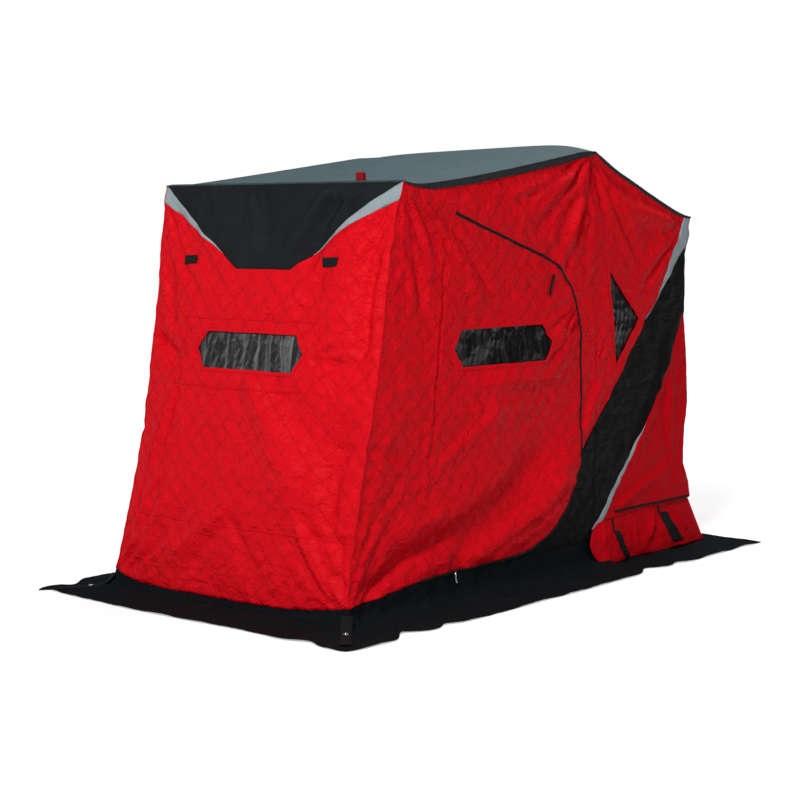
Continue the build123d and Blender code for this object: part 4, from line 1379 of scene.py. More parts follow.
    def side_relief(self, y: Array, z: Array, side: Side) -> Array:
        """How far the side cloth stands outwards from its flat plane at each place.

        Args:
            y: Length along the hut of each place.
            z: Height of each place.
            side: Which side.

        Returns:
            Distances outwards.
        """
        shift = side.either(0.0, 0.37)
        front_y = front_edge(z)
        near_corner = 1 - smooth(0.0, 0.55, y - front_y)
        pull = self.corner_pull(z, side) * near_corner
        pull = pull + 0.030 * bell(y, 0.43, 0.40) * smooth(1.55, 1.96, z)
        pull = pull + 0.010 * arch(y, -1.1, 1.4) * smooth(0.1, 0.7, z)
        drawn = smooth(0.02, 0.16, z) * (1 - smooth(0.16, 0.98, z))
        pull = pull + 0.034 * drawn * arch(y, -1.25, 1.34)
        shelf = 1 - smooth(0.0, 0.115, self.roof_height(y) - z)
        middle = 1 - bell(y, CORNERS["ridge"][0], 0.12)
        pull = pull + 0.026 * shelf * smooth(-0.95, -0.60, y) * (0.3 + 0.7 * middle)
        folds = sum(fold.relief(y + 0.04 * shift, z) for fold in SIDE_FOLDS)
        folds = folds + sum(fan.relief(y, z) for fan in SIDE_FANS)
        crumple = Relief(41).crumple(y + shift, z, 0.15) * self.crumple * 1.8
        crumple = crumple + Relief(43).sample(y, z + shift, 0.34) * 0.007
        fold_y = straight(z, HINGE_FOOT, HINGE_HEAD)
        gathers = Relief(45).crumple(y * 0.3, z + shift, 0.05, 2) * 0.0045
        crumple = crumple + gathers * bell(y, fold_y, 0.10)
        height = folds + crumple - pull
        edges = smooth(0.0, 0.05, self.roof_height(y) - z)
        height = height * (0.35 + 0.65 * edges)
        quilted = self.side_flat(y, z)
        smooth_rear = 1 - 0.6 * smooth(0.35, 0.6, y)
        room = self.room_at_poles(y, z - self.edge_drop(y, z, side))
        at_ridge = 0.033 + 0.3 * np.maximum(np.abs(y - CORNERS["ridge"][0]) - 0.014, 0.0)
        held = soft_floor(height, -np.minimum(room, at_ridge), 0.004)
        return held + self.quilting(quilted[..., 0], quilted[..., 1]) * smooth_rear

    def edge_drop(self, y: Array, z: Array, side: Side) -> Array:
        """How far a place of the side cloth drops with the roof's sagging edge."""
        near_top = 1 - smooth(0.0, 0.8, self.roof_height(y) - z)
        return self.roof_sag(y, side.either(1.0, 0.0)) * near_top

    def side(self, y: Array, z: Array, side: Side, lift: float = 0.0) -> Array:
        """Place on a side wall.

        The top edge sags and the back edge is drawn in, both easing out into the panel, and
        the relief stands the cloth outwards along x.

        Args:
            y: Length along the hut in the flat side plane.
            z: Height in it.
            side: Which side.
            lift: Extra distance outwards.

        Returns:
            Points in space.
        """
        y, z = np.broadcast_arrays(np.asarray(y, float), np.asarray(z, float))
        back_y = back_edge(z)
        near_back = 1 - smooth(0.0, 0.45, back_y - y)
        out = HALF + self.side_relief(y, z, side) + lift
        return np.stack([side.value * out, y - self.rear_pull(z) * near_back,
                         z - self.edge_drop(y, z, side)], -1)

    def edge_scale(self, share: Array, y: Array, z: Array) -> Array:
        """Half width from the middle to the sewn edge, taken from each side's own relief.

        Args:
            share: Place across the hut, more than 0 on the right side.
            y: Length along the hut of each place.
            z: Height of each place.

        Returns:
            The half width at each place.
        """
        right = HALF + self.side_relief(y, z, Side.RIGHT)
        left = HALF + self.side_relief(y, z, Side.LEFT)
        return np.where(share > 0, right, left)

    def front_relief(self, x: Array, z: Array) -> Array:
        """How far the front cloth stands out from its flat plane, nothing at its edges.

        Args:
            x: Width across the hut of each place.
            z: Height of each place.

        Returns:
            Distances outwards.
        """
        share = np.clip(np.abs(x) / HALF, 0.0, 1.0)
        height = np.clip(z / CORNERS["front_top"][1], 0.0, 1.0)
        belly = 0.050 * (1 - share ** 3) * np.sin(np.pi * height ** 0.9) ** 0.7
        folds = sum(fold.relief(x, z) for fold in FRONT_FOLDS)
        folds = folds + sum(fan.relief(x, z) for fan in FRONT_FANS)
        crumple = (Relief(51).crumple(x, z, 0.15) * self.crumple * 1.6
                   + Relief(53).sample(x, z, 0.3) * 0.007)
        gathers = Relief(55).crumple(x * 0.28, z, 0.045, 2) * 0.0060
        crumple = crumple + gathers * (smooth(0.50, 0.62, x) + 0.5 * smooth(-0.54, -0.66, x))
        edges = (1 - smooth(0.94, 1.0, share)) * smooth(0.0, 0.05, CORNERS["front_top"][1] - z)
        return belly + (folds + crumple) * edges

    def front(self, x: Array, z: Array, lift: float = 0.0) -> Array:
        """Place on the front wall.

        Across, the wall is scaled to end on both side walls' front edges. The relief stands it
        out along the slope's outward direction.

        Args:
            x: Width across the flat front plane.
            z: Height.
            lift: Extra distance outwards.

        Returns:
            Points in space.
        """
        x, z = np.broadcast_arrays(np.asarray(x, float), np.asarray(z, float))
        low, high = CORNERS["front_base"], CORNERS["front_top"]
        y = straight(z, low, high)
        slope = math.hypot(high[0] - low[0], high[1] - low[1])
        out_y, out_z = -(high[1] - low[1]) / slope, (high[0] - low[0]) / slope
        quilted = self.front_flat(x, z)
        under_crest = smooth(0.0, 0.02, self.crest_edge(x) - z)
        pillows = self.quilting(quilted[..., 0], quilted[..., 1]) * under_crest
        out = self.front_relief(x, z) + lift + pillows * (1 - (x / HALF) ** 12)
        across = x + np.sign(x) * (self.edge_scale(x, y, z) - HALF) * np.abs(x / HALF) ** 3
        height = z - self.edge_drop(y, z, Side.RIGHT) + out_z * out
        return np.stack([across, y + out_y * out, height], -1)

    def crest_edge(self, x: Array) -> Array:
        """Height of the crest's lower edge at each place across the front.

        Args:
            x: Width across the hut of each place.

        Returns:
            Heights of the edge.
        """
        foot_half, foot_z = CREST_FOOT
        rise = (CORNERS["front_top"][1] - foot_z) / (HALF - foot_half)
        return foot_z + rise * np.maximum(np.abs(x) - foot_half, 0.0)

    def front_flat(self, x: Array, z: Array) -> Array:
        """Flat coordinates of the front cloth, wandering a little."""
        return self.wavered(Relief(33), x, z, 1.02)

    def roof(self, x: Array, y: Array, lift: float = 0.0) -> Array:
        """Place on the roof.

        Between its bars the cloth sags as its edges do, less over the two poles that run along
        under it. Beyond the edge it wraps down over the side wall.

        Args:
            x: Width across the flat roof; past the half width it hangs down the side.
            y: Length along the hut.
            lift: Extra distance outwards.

        Returns:
            Points in space.
        """
        x, y = np.broadcast_arrays(np.asarray(x, float), np.asarray(y, float))
        over = np.maximum(np.abs(x) - HALF, 0.0) * self.wrap_share(y)
        share = np.clip(x / HALF, -1.0, 1.0)
        top = self.roof_height(y)
        right = self.side(y, top - over, Side.RIGHT, 0.002 + lift)
        left = self.side(y, top - over, Side.LEFT, 0.002 + lift)
        edge = np.where((share > 0)[..., None], right, left)
        ridge = CORNERS["ridge"][0]
        near_edge = np.abs(share) ** 6
        off_bars = smooth(0.0, 0.10, y - CORNERS["front_top"][0])
        off_bars = off_bars * smooth(0.0, 0.10, CORNERS["back_top"][0] - y)
        off_bars = off_bars * smooth(0.02, 0.14, np.abs(y - ridge))
        ripple = Relief(61).sample(x, y, 0.22) * 0.009 + Relief(62).crumple(x, y, 0.3) * 0.011
        ripple = ripple * off_bars
        sag = self.roof_sag(y, smooth(-1.0, 1.0, share)) * np.where(y < ridge, 1.0, 0.55) - ripple
        at_poles = 0.0060 + 0.06 * np.maximum(np.abs(np.abs(x) - 0.45) - 0.012, 0.0)
        sag = np.where(y < ridge, np.minimum(sag, at_poles), sag)
        bow = (0.019 + 0.016 * share) * (1 - share ** 8) * bell(y, ridge, 0.30)
        middle_z = top - sag * (1 - bell(y, ridge, 0.04)) + bow + lift
        z = np.where(over > 0, edge[..., 2], between(middle_z, edge[..., 2] + lift, near_edge))
        across = np.where(over > 0, edge[..., 0], np.abs(share) * edge[..., 0])
        return np.stack([across, edge[..., 1], z], -1)

    def back(self, x: Array, z: Array, lift: float = 0.0) -> Array:
        """Place on the back wall, drawn in as its edges are, and less in the middle.

        Args:
            x: Width across the flat back plane.
            z: Height.
            lift: Extra distance outwards.

        Returns:
            Points in space.
        """
        x, z = np.broadcast_arrays(np.asarray(x, float), np.asarray(z, float))
        y = back_edge(z)
        share = np.abs(x) / HALF
        edges = 1 - smooth(0.94, 1.0, share)
        drawn = self.rear_pull(z) * (0.55 + 0.45 * share ** 2)
        height = (Relief(71).crumple(x, z, 0.2) * self.crumple
                  + Relief(72).sample(x, z, 0.32) * 0.007)
        quilted = self.back_flat(x, z)
        pillows = self.quilting(quilted[..., 0], quilted[..., 1])
        height = height * edges * smooth(0.262, 0.35, z) + pillows * edges
        across = x / HALF * self.edge_scale(x, y, z)
        return np.stack([across, y - drawn + height + lift, z], -1)

    def back_flat(self, x: Array, z: Array) -> Array:
        """Flat coordinates of the back cloth, wandering a little."""
        return self.wavered(Relief(35), x, z)


SHAPE = HoodShape()


# ------------------------------------------------------------------ outlines shared by pieces


@dataclass(frozen=True)
class SideOutlines:
    """Edges of the side wall's pieces in the side plane, as (y, z) lines."""

    door_rear: float = 0.300
    sill_rear: float = 0.152
    head_rear: float = 1.416
    low_radius: float = 0.500
    high_radius: float = 0.400
    post_top: float = 1.126
    stripe_front: tuple[Point2, Point2, Point2] = ((1.262, 1.730), (0.760, 1.062), (0.300, 0.588))
    stripe_rear: tuple[Point2, Point2, Point2] = ((1.330, 1.272), (0.860, 0.672), (0.405, 0.185))
    upper_band: tuple[Point2, Point2, Point2] = ((1.246, 1.745), (1.098, 1.438), (0.868, 1.186))
    lower_band: tuple[Point2, Point2, Point2] = ((0.862, 0.675), (0.626, 0.372), (0.464, 0.190))
    rear_window: tuple[Point2, ...] = ((0.540, 1.435), (0.803, 1.191), (0.605, 0.975))
    stripe_widening: tuple[tuple[float, ...], tuple[float, ...]] = (
        (1.190, 1.290, 1.397, 1.480, 1.560), (0.0, 0.036, 0.086, 0.122, 0.150))
    wall_foot_end: float = 0.482

    def head(self) -> Array:
        """The zip from the fold's head to the top of the door's upright edge."""
        head, sill = (self.door_rear, self.head_rear), (self.door_rear, self.sill_rear)
        return joined([HINGE_HEAD], rounded(HINGE_HEAD, head, sill, self.high_radius))

    def sill(self) -> Array:
        """The zip from the foot of the door's upright edge round to the fold's foot."""
        head, sill = (self.door_rear, self.head_rear), (self.door_rear, self.sill_rear)
        return joined(rounded(head, sill, HINGE_FOOT, self.low_radius), [HINGE_FOOT])

    def zip_line(self) -> Array:
        """The whole zip, from the fold's head round to its foot."""
        return joined(self.head(), self.sill())

    def door(self) -> Array:
        """The door's outline, closed along the fold."""
        return joined(along_line(self.zip_line(), 400), along_line([HINGE_FOOT, HINGE_HEAD], 120))

    def door_window(self) -> Array:
        """Corners of the door's window."""
        return hexagon((-0.297, 1.114), 0.690, 0.575, 0.164)

    def kick(self, y: Array) -> Array:
        """Height of the kick band's upper edge along the side."""
        places = [CORNERS["front_base"][0], HINGE_FOOT[0], self.wall_foot_end]
        return np.interp(y, places, [KICK_FRONT, KICK_HINGE, KICK_REAR])

    def fold_top(self) -> Point2:
        """Where the line of the door's fold meets the roof's edge.

        Returns:
            The meeting point, as (y, z).
        """
        run = np.subtract(HINGE_HEAD, HINGE_FOOT)
        reach = np.linspace(1.0, 1.4, 800)
        y, z = HINGE_FOOT[0] + run[0] * reach, HINGE_FOOT[1] + run[1] * reach
        place = int(np.argmin(np.abs(SHAPE.roof_height(y) - z)))
        return (float(y[place]), float(z[place]))


def hexagon(centre: Point2, length: float, flat: float, height: float) -> Array:
    """Corners of a long six-sided window, flat above and below.

    Args:
        centre: Its middle.
        length: Length over its two points.
        flat: Length of its flat edges.
        height: Its height.

    Returns:
        Six corners in order.
    """
    share = flat / length
    signs = [(-1, 0), (-share, 1), (share, 1), (1, 0), (share, -1), (-share, -1)]
    return np.array([(centre[0] + length / 2 * a, centre[1] + height / 2 * b) for a, b in signs])


OUTLINES = SideOutlines()


def grown(corners: Array, margin: float) -> Array:
    """Corners of an outline moved outwards along both neighbours' edges by a margin.

    Args:
        corners: The outline's corners in order.
        margin: How far each edge moves.

    Returns:
        The moved corners.
    """
    ahead = unit(np.roll(corners, -1, 0) - corners)
    back = np.roll(ahead, 1, 0)
    turn = np.sign(float((back[:, 0] * ahead[:, 1] - back[:, 1] * ahead[:, 0]).sum()))
    normal_ahead = np.stack([ahead[:, 1], -ahead[:, 0]], 1) * turn
    normal_back = np.stack([back[:, 1], -back[:, 0]], 1) * turn
    both = 1 + (normal_ahead * normal_back).sum(1)
    return corners + margin * (normal_ahead + normal_back) / both[:, None]


# ------------------------------------------------------------------ pieces


def settle(thing: Object, body: str, nodes: Sequence[str] = ()) -> Object:
    """Rides a piece on its body and the nodes it stands for.

    Args:
        thing: The piece.
        body: The body it rides on, or nothing.
        nodes: Nodes it stands for.

    Returns:
        The same piece.
    """
    if body:
        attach(thing, body)
    if nodes:
        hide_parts(*nodes)
    LOG.info("%s: %d faces", thing.name, len(thing.data.polygons))
    return thing


def flat_size(flat: Array) -> tuple[Point2, float]:
    """Size of a grid's flat cut: the smallest upright or turned box round it, and its area.

    Args:
        flat: Grid of flat coordinates.

    Returns:
        Width and length of the cut's box, and its area.
    """
    turns = np.radians(np.arange(0.0, 90.0, 3.0))[:, None, None]
    wide = np.ptp(flat[..., 0] * np.cos(turns) + flat[..., 1] * np.sin(turns), axis=(1, 2))
    tall = np.ptp(flat[..., 1] * np.cos(turns) - flat[..., 0] * np.sin(turns), axis=(1, 2))
    best = int(np.argmin(wide * tall))
    one, two = flat[1:, 1:] - flat[:-1, :-1], flat[:-1, 1:] - flat[1:, :-1]
    area = float(np.abs(one[..., 0] * two[..., 1] - one[..., 1] * two[..., 0]).sum() / 2)
    return (float(wide[best]), float(tall[best])), min(area, float(wide[best] * tall[best]))


def declare(flats: Sequence[Array]) -> None:
    """Works out the flat size and area of each of a piece's grids, and does nothing more with them.

    Args:
        flats: Flat coordinates of each of its grids.
    """
    sizes, areas = zip(*map(flat_size, flats))


def cloth(name: str, parts: Sequence[tuple[Array, Array]], outward: Outward,
          materials: Sequence[Material], thickness: float, nodes: Sequence[str] = (),
          body: str = "hood") -> Object:
    """Makes one piece of cloth.

    Args:
        name: The piece's name.
        parts: Grids of points, each with its flat coordinates.
        outward: Direction out of the cloth at each place.
        materials: Its outer finish, and the inner one where that differs.
        thickness: How thick it is.
        nodes: Nodes it stands for.
        body: The body it rides on, or nothing.

    Returns:
        The finished piece.
    """
    built = MeshPiece(name, outward, list(parts)).build(materials)
    thing = settle(thicken(built, thickness, len(materials) - 1), body, nodes)
    declare([flat for _, flat in parts])
    return thing


@dataclass(frozen=True)
class Ripples:
    """Upright ripples of a window film: a sine across it, wandering as it goes up."""

    columns: int
    rows: int
    height: float
    turns: float
    wander: float
    wander_turns: float
    setback: float
    overlap: float = 0.012

    def grid(self, corners: Array, centre: Array) -> Array:
        """Places of a film that reaches past its opening, from a centre out to its edge."""
        outline = along_line(closed(grown(corners, self.overlap)), self.columns)
        return centre + (outline[None] - centre) * self.share()[..., None]

    def share(self) -> Array:
        """Share of the way out from the centre for each row."""
        return np.linspace(0.001, 1.0, self.rows)[:, None]

    def depth(self, grid: Array) -> Array:
        """How far the film stands back at each place, ripples easing out at its edge.

        Args:
            grid: Places of the film.

        Returns:
            Distances inwards.
        """
        sway = self.wander * np.sin(grid[..., 1] * self.wander_turns)
        wave = self.height * np.sin(grid[..., 0] * self.turns + sway) * (1 - self.share() ** 6)
        return np.abs(wave) + self.setback


@dataclass
class Wall:
    """A wall of the hood, with the cloth, strips and piping that are sewn to it."""

    finishes: Finishes
    least_sheet: float = 0.010
    film_depth: float = 0.0065
    film_thickness: float = 0.001
    strip_step: float = 0.009
    piping_step: float = 0.012

    def surface(self, across: Array, up: Array, lift: float) -> Array:
        """Places in space of places in this wall's own plane."""
        raise NotImplementedError

    def flat(self, across: Array, up: Array) -> Array:
        """Flat coordinates of this wall's cloth."""
        raise NotImplementedError

    def outward(self, points: Array) -> Array:
        """Direction out of this wall at each place."""
        raise NotImplementedError

    def ride_on(self, thing: Object, body: str, slot: str, nodes: Sequence[str]) -> None:
        """Rides a strip on its body."""
        settle(thing, body, nodes)

    def panel(self, name: str, grids: Sequence[Array], materials: Sequence[Material], slot: str,
              nodes: Sequence[str] = (), body: str = "hood", lift: float = 0.0,
              thickness: float = CLOTH) -> Object:
        """Makes one piece of cloth from grids of places in the wall's plane.

        Args:
            name: The piece's name.
            grids: Places in the wall's plane.
            materials: Its outer finish, and the inner one where that differs.
            slot: Not used.
            nodes: Nodes it stands for.
            body: The body it rides on, or nothing.
            lift: Distance outside the shared surface.
            thickness: How thick it is.

        Returns:
            The finished piece.
        """
        parts = [(self.surface(grid[..., 0], grid[..., 1], lift),
                  self.flat(grid[..., 0], grid[..., 1])) for grid in grids]
        return cloth(name, parts, self.outward, materials, thickness, nodes, body)

    def film(self, name: str, corners: Array, centre: Array, ripples: Ripples, inward: Array,
             finish: Material, nodes: Sequence[str], body: str = "hood") -> None:
        """Makes a window film behind an opening.

        Args:
            name: The piece's name.
            corners: Corners of the opening.
            centre: Where the film's lines run out from.
            ripples: Its ripples.
            inward: Direction the ripples stand back in.
            finish: Its finish.
            nodes: Nodes it stands for.
            body: The body it rides on.
        """
        grid = ripples.grid(corners, centre)
        points = self.surface(grid[..., 0], grid[..., 1], -self.film_depth)
        points = points + inward * ripples.depth(grid)[..., None]
        cloth(name, [(points, grid)], self.outward, [finish], self.film_thickness,
              nodes, body)

    def strips(self, name: str, lines: Sequence[Line], low: float, high: float, material: Material,
               slot: str, body: str = "hood", nodes: Sequence[str] = (), thickness: float = 0.0014,
               lift: float = 0.0006) -> None:
        """Makes strips along lines in the wall's plane, one piece in all.

        Args:
            name: The piece's name.
            lines: Lines that the strips follow.
            low: Sideways distance from each line to the strip's right edge.
            high: Sideways distance to its left edge.
            material: Its finish.
            slot: Not used.
            body: The body it rides on.
            nodes: Nodes it stands for.
            thickness: How thick it is.
            lift: Distance outside the wall.
        """
        piece, total = MeshPiece(name, all_round), 0.0
        for line in lines:
            length = float(reached(np.asarray(line, float))[-1])
            even = along_line(line, max(3, int(length / self.strip_step)))
            left, right = (self.surface(*offset(even, across).T, lift) for across in (low, high))
            piece.add(*band(left, right, self.outward(left), thickness))
            total += length
        thing = piece.build([material])
        self.ride_on(thing, body, slot, nodes)
        if high - low >= self.least_sheet:
            high - low

    def piping(self, name: str, lines: Sequence[Line], radius: float, material: Material,
               slot: str, lift: float = 0.0) -> None:
        """Makes round piping along lines in the wall's plane.

        Args:
            name: The piece's name.
            lines: Lines that it follows.
            radius: Its radius.
            material: Its finish.
            slot: Not used.
            lift: Distance outside the wall.
        """
        piece = MeshPiece(name, all_round)
        for line in lines:
            length = float(reached(np.asarray(line, float))[-1])
            even = along_line(line, max(3, int(length / self.piping_step)))
            piece.add(*tube(self.surface(*even.T, lift), radius))
        settle(piece.build([material]), "hood")


@dataclass
class SideWall(Wall):
    """The sewn panels, stripe, bands, window and zip of one side wall."""

    side: Side = Side.RIGHT
    spacing: float = 0.0105
    zip_tape: float = 0.0065
    zip_gap: float = 0.0004
    tie_strap: tuple[Point2, Point2] = ((0.076, 1.424), (0.055, 1.325))
    ripples: Ripples = Ripples(160, 40, 0.0022, 85, 2.0, 14, 0.001)
    stripe_foot_y: float = -0.42
    corner_foot: Point2 = (0.452, 0.222)
    band_foot: float = 0.19

    def surface(self, across: Array, up: Array, lift: float) -> Array:
        """Places in space of places in the side plane."""
        return SHAPE.side(across, up, self.side, lift)

    def flat(self, across: Array, up: Array) -> Array:
        """Flat coordinates of the side cloth."""
        return SHAPE.side_flat(across, up)

    def outward(self, points: Array) -> Array:
        """Direction out of this side wall."""
        return facing(self.side.value, 0.0, 0.0)(points)

    def ride_on(self, thing: Object, body: str, slot: str, nodes: Sequence[str]) -> None:
        """Rides a strip on the hood, or leaves it on no body and bakes its place into its mesh.

        Args:
            thing: The strip.
            body: The body it belongs to.
            slot: Not used.
            nodes: Nodes it stands for.
        """
        settle(thing, body if body == "hood" else "", nodes)
        if body != "hood":
            self.bend_at_fold(thing)

    def sewn(self, name: str, grid: Array, finish: Material, slot: str = "red_cloth",
             lift: float = 0.0, body: str = "hood") -> Object:
        """Makes one lined panel from its grid of places in the side plane.

        Args:
            name: The node it stands for, without the side.
            grid: Places in the side plane.
            finish: Its outer finish.
            slot: Not used.
            lift: Distance outside the shared surface.
            body: The body it rides on, or nothing.

        Returns:
            The finished panel.
        """
        node = f"{self.side.prefix}_{name}"
        return self.panel(f"{node}_cloth", [grid], [finish, self.finishes.lining], slot, (node,),
                          body, lift)

    def count(self, length: float) -> int:
        """Points for a length at the panel's spacing."""
        return max(3, int(length / self.spacing) + 1)

    def front_panel(self) -> None:
        """Red panel from the front corner to the door's fold."""
        top, fold_top = CORNERS["front_top"], OUTLINES.fold_top()
        grid = coons([FRONT_FOOT, HINGE_FOOT], [top, fold_top], [FRONT_FOOT, top],
                     [HINGE_FOOT, fold_top], self.count(0.50), self.count(1.80))
        self.sewn("side_front_panel", grid, self.finishes.red)

    def over_door(self) -> None:
        """Red panel between the door's head and the roof, down to the ridge seam's middle."""
        ridge, post_top = CORNERS["ridge"], OUTLINES.post_top
        outer = joined(along_line([OUTLINES.fold_top(), ridge], 90),
                       along_line([ridge, (ridge[0], post_top)], 60))
        inner = joined(OUTLINES.head(), [(OUTLINES.door_rear, post_top)])
        grid = ruled(inner, outer, self.count(1.75), self.count(0.42))
        self.sewn("over_door_panel", grid, self.finishes.red)

    def stripe_top(self) -> Array:
        """Front edge of the stripe, down the back edge from its corner and on to the door's zip.

        Returns:
            The line, as (y, z).
        """
        line = arc(*OUTLINES.stripe_front, 1500)
        line = line[line[:, 1] <= CORNERS["back_top"][1]]
        line[:, 0] += np.interp(line[:, 1], *OUTLINES.stripe_widening)
        line[:, 0] = np.minimum(line[:, 0], back_edge(line[:, 1]))
        return joined([CORNERS["back_top"]], line)

    def stripe_bottom(self) -> Array:
        """Rear edge of the stripe, as far back as the hood reaches."""
        line = arc(*OUTLINES.stripe_rear, 120)
        return line[line[:, 0] <= back_edge(line[:, 1])]

    def upper_band(self, count: int) -> Array:
        """Front edge of the upper band, as far up as the roof."""
        line = arc(*OUTLINES.upper_band, count)
        return line[line[:, 1] <= SHAPE.roof_height(line[:, 0])]

    def door_post(self) -> None:
        """Red panel between the door's upright edge and the ridge seam, above the stripe."""
        ridge_y, post_top = CORNERS["ridge"][0], OUTLINES.post_top
        edge = self.stripe_top()[::-1]
        edge = edge[edge[:, 0] <= ridge_y]
        left, right = (OUTLINES.door_rear, post_top), (ridge_y, post_top)
        grid = coons(edge, [left, right], [edge[0], left], [edge[-1], right],
                     self.count(0.14), self.count(0.5))
        self.sewn("door_post_panel", grid, self.finishes.red)

    def door_leaf(self) -> None:
        """Zipped door with its window opening, on no body, beside the fold that it hangs from."""
        grid = ring(OUTLINES.door_window(), OUTLINES.door(), self.count(5.0), self.count(0.62))
        self.bend_at_fold(self.sewn("door_leaf", grid, self.finishes.red, body=""))

    def bend_at_fold(self, thing: Object) -> None:
        """Bakes the place of a piece that lies across the door's fold into its mesh.

        Args:
            thing: The piece.
        """
        run = unit(np.subtract(HINGE_HEAD, HINGE_FOOT))
        middle, across = np.add(HINGE_HEAD, HINGE_FOOT) / 2, np.array([run[1], -run[0]])
        x = self.side.value * HALF
        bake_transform(thing)

    def rear_panel(self) -> None:
        """Red panel behind the ridge seam with its three-sided window opening."""
        ridge, band_edge = CORNERS["ridge"], self.upper_band(90)
        stripe = self.stripe_top()
        stripe = stripe[(stripe[:, 1] <= OUTLINES.upper_band[2][1]) & (stripe[:, 0] >= ridge[0])]
        seam = along_line([(ridge[0], float(stripe[-1, 1])), ridge], 100)
        outline = joined(seam, along_line([ridge, band_edge[0]], 70), band_edge, stripe)
        grid = ring(np.array(OUTLINES.rear_window), outline, self.count(3.9), self.count(0.5))
        self.sewn("rear_side_panel", grid, self.finishes.red)

    def stripe(self) -> None:
        """Black stripe from the back top corner down and forward under the door."""
        foot = (self.stripe_foot_y, float(OUTLINES.kick(self.stripe_foot_y)))
        sill, top = OUTLINES.sill(), self.stripe_top()
        below = sill[(sill[:, 1] >= OUTLINES.kick(sill[:, 0])) & (sill[:, 0] >= foot[0])
                     & (sill[:, 1] <= OUTLINES.stripe_front[2][1])]
        leaves = int(np.argmax(top[:, 0] < back_edge(top[:, 1]) - 0.0001))
        front = joined(top[leaves - 1:], below, [foot])
        rear = joined(self.stripe_bottom(), [(0.400, KICK_REAR)])
        grid = ruled(front, rear, self.count(2.3), self.count(0.30))
        self.sewn("side_stripe", grid, self.finishes.stripe, "black_cloth", 0.0003)

    def corner_panel(self) -> None:
        """Plain red panel behind the stripe, down to the hem over the sled."""
        rear = self.stripe_bottom()
        rear = joined(rear[rear[:, 1] >= self.corner_foot[1]], [self.corner_foot])
        edge = along_line([rear[0], CORNERS["back_hem"]], 100)
        grid = ruled(rear, edge, self.count(1.35), self.count(0.55))
        self.sewn("rear_corner_panel", grid, self.finishes.plain_red)

    def bands(self) -> None:
        """Two reflective bands, in front of the stripe above and behind it below."""
        stripe, rear = self.stripe_top(), self.stripe_bottom()
        stripe = stripe[stripe[:, 1] >= OUTLINES.upper_band[2][1]]
        rear = rear[(rear[:, 1] <= OUTLINES.lower_band[0][1]) & (rear[:, 1] >= self.band_foot)]
        grids = [ruled(self.upper_band(80), stripe, 70, 5),
                 ruled(arc(*OUTLINES.lower_band, 80), rear, 70, 5)]
        nodes = ("side_bands",) if self.side is Side.RIGHT else ()
        self.panel(f"{self.side.prefix}_bands", grids, [self.finishes.tape], "reflective_band",
                   nodes, lift=0.0016, thickness=0.0012)

    def panes(self) -> None:
        """Window films of the door and of the three-sided rear window."""
        door, rear = OUTLINES.door_window(), np.array(OUTLINES.rear_window)
        prefix, film = self.side.prefix, self.finishes.film
        inward = np.array([-self.side.value, 0.0, 0.0])
        self.film(f"{prefix}_door_window_film", door, door.mean(0), self.ripples, inward, film,
                  (f"{prefix}_door_window",), self.side.body)
        self.film(f"{prefix}_rear_window_film", rear, rear.mean(0), self.ripples, inward, film,
                  ("rear_side_windows",) if self.side is Side.RIGHT else ())

    def build(self) -> None:
        """Builds the whole side wall."""
        for step in (self.front_panel, self.over_door, self.door_post, self.door_leaf,
                     self.rear_panel, self.stripe, self.corner_panel, self.bands, self.panes,
                     self.zip, self.seams):
            step()

    def zip(self) -> None:
        """Zip round the door: a tape on each side, the coil between them, slider and tie strap."""
        line, black = along_line(OUTLINES.zip_line(), 400), self.finishes.webbing
        prefix, tape, gap = self.side.prefix, self.zip_tape, self.zip_gap
        self.strips(f"{prefix}_zip_tape", [line], gap, tape, black, "webbing",
                    nodes=(f"{prefix}_door_zip",), thickness=0.0022)
        self.strips(f"{prefix}_door_zip_tape", [line], -tape, -gap, black, "webbing",
                    self.side.body, thickness=0.0022)
        self.piping(f"{prefix}_zip_coil", [line], 0.0021, black, "webbing", 0.0028)
        self.strips(f"{prefix}_tie_strap", [self.tie_strap], -0.0085, 0.0085, black, "webbing",
                    thickness=0.003, lift=0.006)
        foot = line[np.argmin(np.hypot(line[:, 0] + 0.60, line[:, 1] - 0.135))]
        for name, spot, lean, finish in (
            ("upper", line[-300], (0.008, -0.022), black),
            ("lower", foot, (-0.008, -0.052), self.finishes.nickel),
        ):
            self.strips(f"{prefix}_{name}_slider", [[spot, spot + lean]], -0.0048, 0.0048, finish,
                        "webbing", thickness=0.004, lift=0.005)

